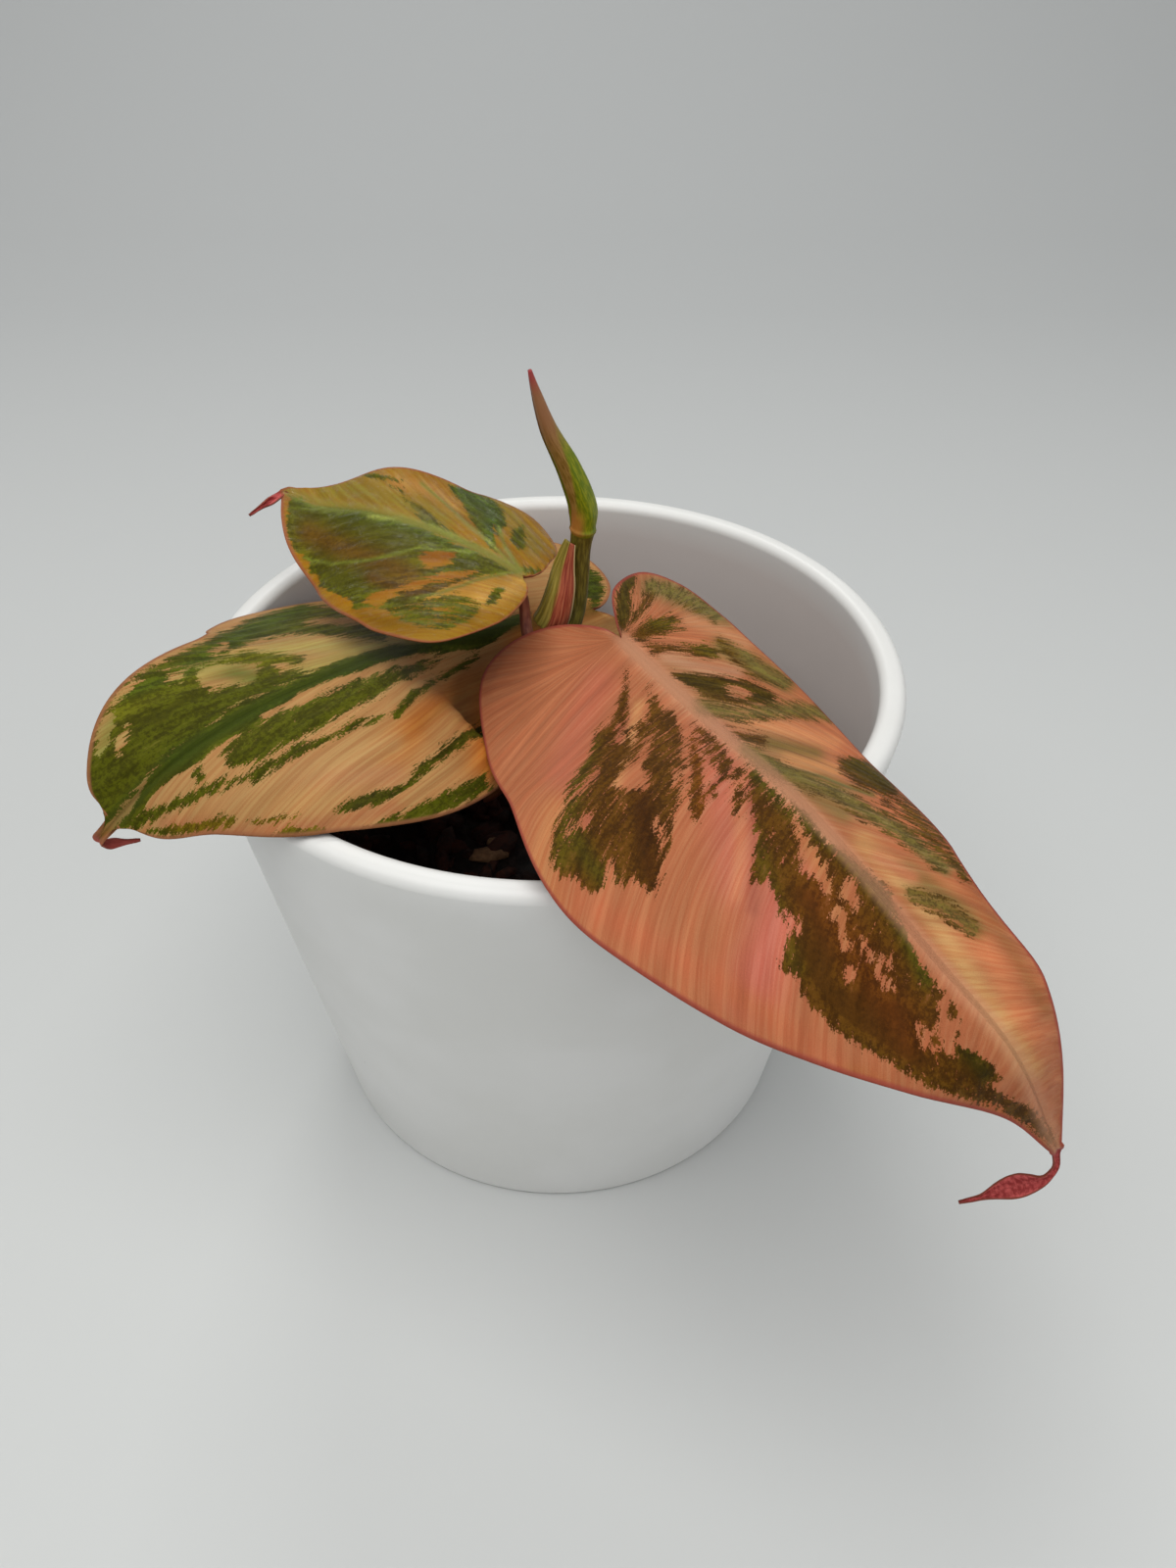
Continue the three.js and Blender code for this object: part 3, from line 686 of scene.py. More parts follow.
# Tubes: stalks, stem and new leaf.
def tube(path, rings, sides, section, up=UPWARDS):
    """Vertices, faces, share of the length and angle round it, of a section swept along a path."""
    points, _ = spaced(path, rings)
    _, normals, across = frames_along(points, up)
    u = np.linspace(0, 1, rings + 1)[:, None]
    angle = np.linspace(0, 2 * math.pi, sides, endpoint=False)[None, :]
    radius = section(u, angle)
    x, y = radius * np.cos(angle), radius * np.sin(angle)
    rim = points[:, None] + across[:, None] * x[..., None] + normals[:, None] * y[..., None]
    vertices = np.concatenate([rim.reshape(-1, 3), points[:1], points[-1:]])
    faces = []
    end = rings * sides
    first, last = end + sides, end + sides + 1
    for j in range(sides):
        k = (j + 1) % sides
        faces.append((first, j, k))
        faces.append((last, end + k, end + j))
        for i in range(0, end, sides):
            faces.append((i + j, i + sides + j, i + sides + k, i + k))
    shares = np.concatenate([np.repeat(u.ravel(), sides), [0, 1]])
    turns = np.concatenate([np.tile(angle.ravel(), rings + 1), [0, 0]])
    return vertices, faces, {"share": shares, "turn": turns}


def closed_round(radius, u):
    """Radius that rounds off at both ends of a tube."""
    cap = np.sqrt(np.clip(1 - (1 - np.clip(u / ROUND_END, 0, 1)) ** 2, 0, 1))
    other = np.sqrt(np.clip(1 - (1 - np.clip((1 - u) / ROUND_END, 0, 1)) ** 2, 0, 1))
    return radius * np.maximum(cap * other, 0.02)


def stalk_piece(name, leaf, spine):
    """The stalk, from the stem to where it runs out under the midrib."""
    under = [(spine.points[i] - spine.normals[i] * depth).tolist() for i, depth in STALK_ENDS]

    def section(u, angle):
        channel = 1 - 0.12 * np.exp(-(((angle - math.pi / 2) / 0.5) ** 2))
        return closed_round(leaf["petiole_radius"] * (1 - 0.45 * u * u), u) * channel

    return mesh_piece(name, *tube([*leaf["petiole"], *under], 60, 28, section))


def stem_piece():
    def section(u, angle):
        swelling = sum(JOINT_SWELLING * np.exp(-(((u - joint) / 0.02) ** 2)) for joint in STEM_JOINTS)
        grooves = 0.06 * np.sin(9 * angle + 7 * u)
        return closed_round(STEM_RADIUS * (1 - 0.22 * u) + swelling + grooves, u)

    return mesh_piece("stem_bark", *tube(STEM_PATH, 150, 40, section))


def new_leaf_piece():
    """Rolled leaf: a scroll whose outer edge makes a lip down one side, on its round stalk."""

    def section(u, angle):
        rolled = np.clip((u - STALK_SHARE) * 12, 0, 1) * np.minimum((1 - u) * 3, 1)
        stations = np.arange(len(NEW_LEAF_RADII))
        base = np.interp(u * stations[-1], stations, NEW_LEAF_RADII)
        ring = 0.22 * np.exp(-(((u - STALK_SHARE - 0.012) / 0.008) ** 2))
        creases = 0.05 * np.sin(5 * angle + 9 * u) * rolled
        return base + ROLL_LIP * rolled * (angle / (2 * math.pi) - 0.5) + ring + creases

    return mesh_piece("new_leaf_roll", *tube(NEW_LEAF_PATH, 240, 64, section, FORWARDS))


def sheath_piece():
    """Sheath: a thin striped sheet round the stalk, its free edges drawing together to a point."""
    path, _ = spaced(SHEATH_PATH, SHEATH_ROWS)
    _, normals, sides = frames_along(path, FORWARDS)
    u = np.linspace(0, 1, SHEATH_ROWS + 1)[:, None]
    wide, narrow = SHEATH_SPREAD
    spread = np.radians(wide + (narrow - wide) * u**1.5)
    across = np.linspace(-1, 1, SHEATH_COLUMNS + 1)[None, :]
    angle = across * spread + math.radians(SHEATH_FACING)
    radius = SHEATH_RADIUS * (1 - 0.12 * u) + 0.09 * np.cos(9 * across * math.pi) * (1 - np.abs(across))
    way = sides[:, None] * np.sin(angle)[..., None] + normals[:, None] * np.cos(angle)[..., None]
    skins = []
    for offset in (SHEATH_THICKNESS / 2, -SHEATH_THICKNESS / 2):
        taper = offset * (1 - 0.5 * np.abs(across) ** 4)
        skins.append((path[:, None] + way * (radius + taper)[..., None]).reshape(-1, 3))
    shares, turns = (np.tile(np.broadcast_to(values, angle.shape).ravel(), 2) for values in (u, across))
    faces = sheet_faces(np.arange(angle.size).reshape(angle.shape).T, closed=True)
    return mesh_piece("sheath_husk", np.concatenate(skins), faces, {"share": shares, "turn": turns})


# Pot and mix.
def wall_outside(z):
    return FOOT_RADIUS + (RIM_RADIUS - FOOT_RADIUS) / POT_HEIGHT * z


def wall_inside(z):
    return wall_outside(z) - WALL


def pot_profile():
    """Half profile of the pot, as radius and height, from under its foot round to the floor inside."""
    lip = POT_HEIGHT - LIP_ROUND
    bottom = FLOOR + INNER_FILLET
    profile = [(0.0, 0.0), (FLAT_RADIUS, 0.0), (FOOT_RADIUS - 3, 0.0)]

    def arc(radius, z, start, end, count, turn):
        for angle in np.radians(np.linspace(start, end, count + 1)):
            profile.append((radius + turn * math.cos(angle), z + turn * math.sin(angle)))

    arc(wall_outside(FOOT_ROUND) - FOOT_ROUND, FOOT_ROUND, -90, 0, 6, FOOT_ROUND)
    profile.extend((wall_outside(z), z) for z in np.linspace(RING_MARGIN, POT_HEIGHT - RING_MARGIN, 12))
    arc(wall_outside(lip) - LIP_ROUND, lip, 0, 90, 10, LIP_ROUND)
    arc(wall_inside(lip) + LIP_ROUND, lip, 90, 180, 10, LIP_ROUND)
    profile.extend((wall_inside(z), z) for z in np.linspace(POT_HEIGHT - RING_MARGIN, INSIDE_FROM, 10))
    arc(wall_inside(bottom) - INNER_FILLET, bottom, 0, -90, 8, INNER_FILLET)
    profile.extend([(FLAT_RADIUS, FLOOR), (0.0, FLOOR)])
    return profile


def turned_faces(rings, segments):
    """Faces of rings of vertices round an upright axis. Two vertices on the axis come first: the one under
    the first ring, then the one over the last."""
    faces = []
    for j in range(segments):
        k = (j + 1) % segments
        faces.append((0, 2 + k, 2 + j))
        for low in range(2, 2 + (rings - 1) * segments, segments):
            faces.append((low + j, low + k, low + segments + k, low + segments + j))
        last = 2 + (rings - 1) * segments
        faces.append((1, last + j, last + k))
    return faces


def round_angles(segments):
    return np.linspace(0, 2 * math.pi, segments, endpoint=False)


def level_ring(radius, z, segments):
    return [(radius * math.cos(t), radius * math.sin(t), z) for t in round_angles(segments)]


def pot_piece():
    profile = pot_profile()
    vertices = [(0.0, 0.0, profile[0][1]), (0.0, 0.0, profile[-1][1])]
    for radius, z in profile[1:-1]:
        vertices.extend(level_ring(radius, z, POT_SEGMENTS))
    x, y, z = np.array(vertices).T
    # Painted shade: a share that darkens the glaze inside the pot, fading out just under the rim.
    inside = (np.hypot(x, y) < wall_outside(z) - WALL / 2) & (z > FLOOR / 2)
    inside = inside * (1 - smooth(POT_HEIGHT - 4, POT_HEIGHT, z))
    faces = turned_faces(len(profile) - 2, POT_SEGMENTS)
    return mesh_piece("pot_glazed", vertices, faces, {"inside": inside})


def mix_height(x, y):
    """Top of the mix: slow waves, then crumbs."""
    slow = 1.0 * (np.sin(0.23 * x + 1.1) * np.cos(0.19 * y) + 0.5 * np.sin(0.51 * x - 0.43 * y))
    fine = 0.35 * np.sin(1.7 * x + 0.6 * np.sin(1.1 * y)) * np.sin(1.5 * y + 0.8 * np.sin(0.9 * x))
    crumbs = 0.22 * np.sin(4.1 * x + 2.0 * np.sin(2.3 * y)) * np.sin(3.7 * y + 2.0 * np.sin(2.9 * x))
    return MIX_TOP + slow + fine + crumbs


def mix_bed():
    """The bed without its chips: an uneven top, lower at the wall, and sides that follow the pot."""
    wall = wall_inside(MIX_TOP) - MIX_GAP
    angle = round_angles(MIX_SEGMENTS)
    vertices = [(0.0, 0.0, MIX_BOTTOM), (0.0, 0.0, float(mix_height(0, 0)))]
    for ring in range(1, MIX_RINGS + 1):
        radius = wall * ring / MIX_RINGS
        x, y = radius * np.cos(angle), radius * np.sin(angle)
        z = mix_height(x, y) - MIX_EDGE_DROP * smooth(wall - 2.5, wall, radius)
        vertices.extend(zip(x, y, z))
    deep = [(wall_inside(z) - gap, z) for z, gap in MIX_SIDES]
    for radius, z in (*deep, (MIX_FOOT, MIX_BOTTOM)):
        vertices.extend(level_ring(radius, z, MIX_SEGMENTS))
    end = len(vertices) - MIX_SEGMENTS
    faces = []
    for j in range(MIX_SEGMENTS):
        k = (j + 1) % MIX_SEGMENTS
        faces.append((1, 2 + j, 2 + k))
        for near in range(2, end, MIX_SEGMENTS):
            far = near + MIX_SEGMENTS
            faces.append((near + j, far + j, far + k, near + k))
        faces.append((0, end + k, end + j))
    return np.array(vertices), faces


def chip(random):
    """One bark chip: a rough wedge with broken edges, about its own middle."""
    long = CHIP_LENGTH[0] + CHIP_LENGTH[1] * random.random() ** CHIP_SELDOM
    size = np.array([long, long * random.uniform(*CHIP_WIDTH), long * random.uniform(*CHIP_HEIGHT)]) / 2
    angle = round_angles(CHIP_SIDES) + random.uniform(0, 1)
    wobble = random.uniform(0.75, 1.15, (len(CHIP_LAYERS), CHIP_SIDES))
    layers = []
    for level, (height, width) in enumerate(CHIP_LAYERS):
        x = size[0] * width * wobble[level] * np.cos(angle)
        y = size[1] * width * wobble[level] * np.sin(angle)
        z = size[2] * (height + 0.15 * random.standard_normal(CHIP_SIDES))
        layers.append(np.stack([x, y, z], -1))
    ends = [[0, 0, -size[2]], [0, 0, size[2]]]
    return np.concatenate([ends, *layers]), turned_faces(len(layers), CHIP_SIDES), size[2]


def turn_matrix(random):
    """Lies nearly flat, faces any way round."""
    yaw = random.uniform(0, 2 * math.pi)
    tilt, roll = random.normal(0, CHIP_TILT), random.normal(0, CHIP_ROLL)
    turn = Matrix.Rotation(yaw, 3, "Z") @ Matrix.Rotation(tilt, 3, "Y") @ Matrix.Rotation(roll, 3, "X")
    return np.array(turn)


def mix_piece():
    """The bed of fine compost and its bark chips, as one mesh; tone tells the chips apart."""
    random = np.random.default_rng(SEED)
    vertices, faces = mix_bed()
    parts, tones = [vertices], [np.zeros(len(vertices))]
    reach = wall_inside(MIX_TOP) - MIX_GAP - CHIP_MARGIN
    start = len(vertices)
    for _ in range(CHIP_COUNT):
        shape, sides, half = chip(random)
        radius = (reach - np.abs(shape[:, 0]).max()) * math.sqrt(random.random())
        angle = random.uniform(0, 2 * math.pi)
        x, y = radius * math.cos(angle), radius * math.sin(angle)
        sunk = random.uniform(-CHIP_SUNK, CHIP_SUNK) * half
        place = np.array([x, y, float(mix_height(x, y)) + sunk])
        parts.append(shape @ turn_matrix(random).T + place)
        tones.append(np.full(len(shape), 0.15 + 0.85 * random.random() ** 3))
        faces.extend(tuple(start + k for k in side) for side in sides)
        start += len(shape)
    return mesh_piece("mix_bed", np.concatenate(parts), faces, {"tone": np.concatenate(tones)})


# Looks.
class Look:
    """A material and short ways to add nodes to it. A tuple of three for a colour is sRGB, 0 to 255."""

    def __init__(self, name, **settings):
        self.material = bpy.data.materials.new(name)
        self.material.use_nodes = True
        self.tree = self.material.node_tree
        self.shader = self.tree.nodes["Principled BSDF"]
        for key, value in settings.items():
            self.shader.inputs[key.replace("_", " ")].default_value = value

    def put(self, socket, value):
        if hasattr(value, "is_linked"):
            self.tree.links.new(value, socket)
        elif isinstance(value, tuple) and len(value) == 3 and socket.type == "RGBA":
            socket.default_value = (*linear(value).tolist(), 1.0)
        else:
            socket.default_value = value

    def node(self, kind, inputs=None, output=0, **settings):
        made = self.tree.nodes.new(kind)
        for key, value in settings.items():
            setattr(made, key, value)
        for key, value in (inputs or {}).items():
            self.put(made.inputs[key], value)
        return made.outputs[output]

    def math(self, operation, first, second=0.0):
        return self.node("ShaderNodeMath", {0: first, 1: second}, operation=operation)

    def plus(self, first, second):
        return self.math("ADD", first, second)

    def times(self, first, second):
        return self.math("MULTIPLY", first, second)

    def read(self, name, output="Fac"):
        return self.node("ShaderNodeAttribute", attribute_name=name, output=output)

    def place(self):
        return self.node("ShaderNodeTexCoord", output="Object")

    def around(self, turn, turns, share, shares):
        """Coordinates round a tube and along it, each times its own number."""
        inputs = {"X": self.times(turn, turns), "Y": self.times(share, shares)}
        return self.node("ShaderNodeCombineXYZ", inputs)

    def noise(self, vector, scale, detail=2.0, rough=0.5, warp=0.0):
        """Noise of 0 to 1. A tuple for the scale stretches it by axis."""
        if isinstance(scale, tuple):
            inputs = {"Vector": vector, "Scale": scale}
            vector = self.node("ShaderNodeMapping", inputs, vector_type="POINT")
            scale = 1.0
        inputs = {"Vector": vector, "Scale": scale, "Detail": detail, "Roughness": rough}
        return self.node("ShaderNodeTexNoise", {**inputs, "Distortion": warp})

    def band(self, value, low, high):
        """0 below low, 1 above high, smooth between."""
        inputs = {"Value": value, "From Min": low, "From Max": high}
        return self.node("ShaderNodeMapRange", inputs, interpolation_type="SMOOTHSTEP")

    def fall(self, value, low, high):
        """1 below low, 0 above high, smooth between."""
        return self.math("SUBTRACT", 1.0, self.band(value, low, high))

    def span(self, value, low, high):
        """A share of 0 to 1 stretched to run from low to high."""
        return self.node("ShaderNodeMapRange", {"Value": value, "To Min": low, "To Max": high})

    def spread(self, value, reach):
        """A share of 0 to 1 stretched to run from minus reach to reach."""
        return self.span(value, -reach, reach)

    def blend(self, share, first, second, kind="MIX"):
        mix = self.tree.nodes.new("ShaderNodeMix")
        mix.data_type = "RGBA"
        mix.blend_type = kind
        for socket, value in ((mix.inputs[0], share), (mix.inputs[6], first), (mix.inputs[7], second)):
            self.put(socket, value)
        return mix.outputs[2]

    def passage(self, value, low, high, first, second):
        """First colour below low, second one above high."""
        return self.blend(self.band(value, low, high), first, second)

    def brighter(self, colour, value):
        """Colour times a number."""
        return self.node("ShaderNodeVectorMath", {0: colour, 3: value}, operation="SCALE")

    def bump(self, height, depth_mm, strength=1.0, under=None):
        inputs = {"Height": height, "Distance": depth_mm * MM, "Strength": strength}
        if under is not None:
            inputs["Normal"] = under
        return self.node("ShaderNodeBump", inputs)

    def finish(self, colour, rough=None, normal=None):
        for key, value in (("Base Color", colour), ("Roughness", rough), ("Normal", normal)):
            if value is not None:
                self.put(self.shader.inputs[key], value)
        return self.material


def frayed_marks(look, vein, flat, marks, fleck):
    """Share of green at a point: noise along the veins and crumbs fray the edges of the marks."""
    frayed = look.noise(vein, (1.5, 0.22, 1.0), 5.0, 0.72)
    crumbs = look.noise(flat, (3.4, 3.4, 1.0), 4.0, 0.72)
    fray = look.times(look.math("SUBTRACT", frayed, 0.5), 5.2 * fleck)
    crumb = look.times(look.math("SUBTRACT", crumbs, 0.5), 3.2 * fleck)
    return look.band(look.plus(look.plus(marks, fray), crumb), -0.1, 0.14)


def green_skin(look, vein, flat, marks, ground, mist):
    """Green of the marks with darker blotches, younger patches and a haze of the ground colour."""
    blotch = look.noise(vein, (0.8, 0.16, 1.0), 5.0, 0.65)
    dapple = look.noise(flat, (1.6, 1.6, 1.0), 6.0, 0.78)
    tint = look.read("tint", "Color")
    leafy = look.brighter(tint, look.plus(look.span(blotch, 0.2, 1.8), look.spread(dapple, 0.9)))
    fresh = look.blend(1.0, tint, FRESH_TINT, "MULTIPLY")
    loose = look.fall(marks, 1.3, 2.3)
    young = look.times(look.band(look.plus(blotch, dapple), 0.94, 1.12), loose)
    leafy = look.blend(young, leafy, fresh)
    haze = look.band(look.plus(blotch, look.times(dapple, 0.5)), 0.86, 0.98)
    return look.blend(look.times(look.times(haze, loose), mist), leafy, ground)


def water_film(look, vein):
    """A wet coat that lies on the blade in patches."""
    creases = look.noise(vein, (0.9, 0.3, 1.0), 3.0, 0.5, 0.8)
    inputs = look.shader.inputs
    look.put(inputs["Coat Weight"], look.times(look.band(creases, 0.5, 0.58), 0.5))
    inputs["Coat Roughness"].default_value = 0.06
    inputs["Coat IOR"].default_value = 1.5
    look.put(inputs["Coat Normal"], look.bump(creases, 3.2))


def leaf_look(name, rib, edge, below, gloss, specular=0.09, fleck=1.0, groove_shade=0.4, mist=0.22, wet=False):
    """A variegated blade. The marks, washes and veins come from the mesh; noise frays them."""
    look = Look(name, Specular_IOR_Level=specular, Specular_Tint=WARM_SHINE)
    vein, flat, marks = look.read("vein", "Vector"), look.read("flat", "Vector"), look.read("green")
    off_rib, from_edge, share = look.read("off_rib"), look.read("from_edge"), look.read("share")

    lines = look.noise(vein, (1.9, 0.05, 1.0), 4.0, 0.62)
    broad = look.noise(vein, (0.35, 0.03, 1.0), 3.0, 0.55)
    grain = look.noise(flat, (6.0, 6.0, 1.0), 3.0, 0.7)
    velvet = look.noise(flat, (11.0, 11.0, 1.0), 2.0, 0.6)
    mottle = look.plus(look.spread(broad, 0.34), look.spread(grain, 0.14))
    shade = look.plus(look.span(lines, 0.72, 1.28), mottle)
    shade = look.plus(shade, look.spread(velvet, 0.28))
    ground = look.brighter(look.read("wash", "Color"), shade)
    rose = look.blend(1.0, ground, ROSE_GROUND, "MULTIPLY")
    ground = look.passage(lines, 0.42, 0.6, rose, ground)
    green = frayed_marks(look, vein, flat, marks, fleck)
    skin = look.blend(green, ground, green_skin(look, vein, flat, marks, ground, mist))

    rib_share = look.times(look.fall(off_rib, 0.3, 1.9), look.span(lines, 0.3, 1.0))
    skin = look.blend(look.times(rib_share, 0.75), skin, rib)
    # Painted shade: the colour darker in the groove along the midrib.
    groove = look.fall(off_rib, 0.05, 0.3)
    skin = look.blend(look.times(groove, groove_shade), skin, look.brighter(skin, 0.55))
    skin = look.blend(look.times(look.fall(from_edge, 0.25, 0.75), 0.8), skin, edge)
    drip = look.passage(lines, 0.4, 0.6, *DRIP_TONES)
    drip = look.passage(from_edge, 0.03, 0.14, DRIP_EDGE, drip)
    skin = look.passage(share, 1.0, 1.03, skin, drip)
    skin = look.blend(look.read("below"), skin, look.blend(0.62, skin, below))

    rough = look.span(look.noise(flat, (0.5, 0.5, 1.0), 3.0), *gloss)
    height = look.plus(look.times(lines, 0.7), look.times(grain, 0.5))
    normal = look.bump(velvet, 0.05, 0.8, look.bump(height, 0.16, 0.8))
    if wet:
        water_film(look, vein)
    return look.finish(skin, rough, normal)


def stalk_look(name, low_tone, high_tone):
    look = Look(name, Specular_IOR_Level=0.5)
    streaks = look.noise(look.place(), (1500.0, 1500.0, 180.0), 4.0, 0.6)
    colour = look.passage(streaks, 0.35, 0.68, low_tone, high_tone)
    return look.finish(colour, look.span(streaks, 0.32, 0.55), look.bump(streaks, 0.15))


def roll_look():
    """New leaf: olive stalk, orange foot, lime belly and a pink-brown tip."""
    look = Look("rolled_leaf", Specular_IOR_Level=0.3)
    share, turn = look.read("share"), look.read("turn")
    streaks = look.noise(look.around(turn, 2.2, share, 9.0), 2.4, 4.0, 0.6)
    facing = look.math("SINE", look.plus(turn, look.times(share, 0.6)))
    right_side = look.times(look.math("COSINE", turn), -1.0)
    lime = look.passage(streaks, 0.4, 0.62, (98, 116, 8), (136, 142, 18))
    brown = look.passage(streaks, 0.38, 0.62, (122, 92, 30), (158, 122, 64))
    belly = look.math("SUBTRACT", right_side, look.times(look.math("SUBTRACT", share, 0.5), 4.2))
    body = look.passage(look.plus(belly, look.spread(streaks, 0.15)), -0.6, -0.25, brown, lime)
    foot = look.times(look.band(share, 0.36, 0.38), look.fall(share, 0.42, 0.52))
    orange = look.times(foot, look.fall(right_side, -0.5, 0.3))
    body = look.blend(look.times(orange, 0.8), body, (176, 108, 52))
    tip = look.passage(share, 0.66, 0.86, body, (150, 104, 68))
    tip = look.passage(share, 0.9, 1.0, tip, (168, 66, 66))
    stalk = look.passage(streaks, 0.4, 0.65, (78, 68, 18), (112, 100, 34))
    ring = look.fall(look.math("ABSOLUTE", look.math("SUBTRACT", share, 0.382)), 0.002, 0.008)
    colour = look.passage(share, 0.365, 0.375, stalk, tip)
    colour = look.blend(look.times(ring, 0.4), colour, (132, 100, 44))
    return look.finish(colour, look.span(streaks, 0.3, 0.5), look.bump(look.plus(streaks, facing), 0.1))


def sheath_look():
    look = Look("striped_sheath", Specular_IOR_Level=0.3)
    share, turn = look.read("share"), look.read("turn")
    stripes = look.noise(look.around(turn, 7.0, share, 1.1), 1.6, 4.0, 0.62)
    pink = look.passage(stripes, 0.42, 0.6, (128, 48, 32), (172, 92, 62))
    pink = look.passage(stripes, 0.6, 0.72, pink, (190, 140, 110))
    olive = look.passage(stripes, 0.4, 0.62, (118, 104, 30), (158, 140, 62))
    colour = look.passage(look.plus(turn, look.spread(stripes, 0.12)), -0.34, -0.22, pink, olive)
    colour = look.passage(look.math("ABSOLUTE", turn), 0.86, 0.97, colour, (176, 160, 112))
    return look.finish(colour, look.span(stripes, 0.38, 0.55), look.bump(stripes, 0.18))


def glaze_look():
    """White satin glaze with a faint wave, pinholes and a few specks of grime; painted shade darkens it
    inside the pot.
    """
    look = Look("white_glaze", Roughness=0.3, Specular_IOR_Level=0.35)
    place = look.place()
    wave = look.noise(place, 38.0, 3.0, 0.5)
    fine = look.noise(place, 900.0, 3.0, 0.6)
    cells = look.node("ShaderNodeTexVoronoi", {"Vector": place, "Scale": 130.0}, output="Distance")
    chosen = look.band(look.noise(place, 60.0, 1.0), 0.6, 0.66)
    speck = look.times(look.fall(cells, 0.02, 0.035), chosen)
    colour = look.passage(wave, 0.35, 0.7, (219, 219, 216), (225, 225, 223))
    # Painted shade inside the pot: a darker warm grey.
    colour = look.blend(look.read("inside"), colour, (200, 191, 186))
    colour = look.blend(look.times(speck, 0.35), colour, (120, 112, 100))
    normal = look.bump(look.plus(wave, look.times(fine, 0.03)), 0.5, 0.5)
    return look.finish(colour, look.span(wave, 0.34, 0.44), normal)


def mix_look():
    """Wet dark compost with bark from near black to red-brown, and a few pale chips."""
    look = Look("bark_mix", Specular_IOR_Level=0.35)
    place, chip_tone = look.place(), look.read("tone")
    grain = look.noise(place, (420.0, 420.0, 900.0), 6.0, 0.72)
    clump = look.noise(place, 160.0, 4.0, 0.6)
    soil = look.passage(grain, 0.35, 0.68, (12, 8, 7), (42, 26, 20))
    bark = look.passage(grain, 0.3, 0.7, (34, 17, 12), (88, 44, 28))
    pale = look.passage(grain, 0.3, 0.7, (120, 86, 58), (176, 138, 100))
    colour = look.passage(chip_tone, 0.1, 0.3, soil, bark)
    colour = look.passage(chip_tone, 0.86, 0.95, colour, pale)
    colour = look.brighter(colour, look.span(clump, 0.6, 1.35))
    return look.finish(colour, look.span(grain, 0.55, 0.95), look.bump(look.plus(grain, clump), 0.5))


def stem_look():
    look = Look("stem_skin", Specular_IOR_Level=0.4)
    grain = look.noise(look.place(), (700.0, 700.0, 220.0), 5.0, 0.66)
    green = look.passage(grain, 0.35, 0.65, (92, 84, 44), (138, 122, 66))
    brown = look.passage(grain, 0.35, 0.65, (84, 54, 34), (132, 92, 60))
    colour = look.passage(look.plus(look.read("share"), look.spread(grain, 0.1)), 0.5, 0.62, brown, green)
    return look.finish(colour, look.span(grain, 0.45, 0.75), look.bump(grain, 0.3))


def paper_look():
    """Matt seamless paper with painted shade: darker towards the back."""
    look = Look("studio_paper", Roughness=0.9, Specular_IOR_Level=0.2)
    place = look.place()
    back = look.node("ShaderNodeSeparateXYZ", {"Vector": place}, output="Y")
    grain = look.noise(place, 60.0, 5.0, 0.6)
    # Painted shade: the paper darkens towards the back.
    share = look.plus(look.band(back, -0.12, 0.5), look.spread(grain, 0.02))
    return look.finish(look.blend(share, (200, 202, 201), (182, 184, 184)))


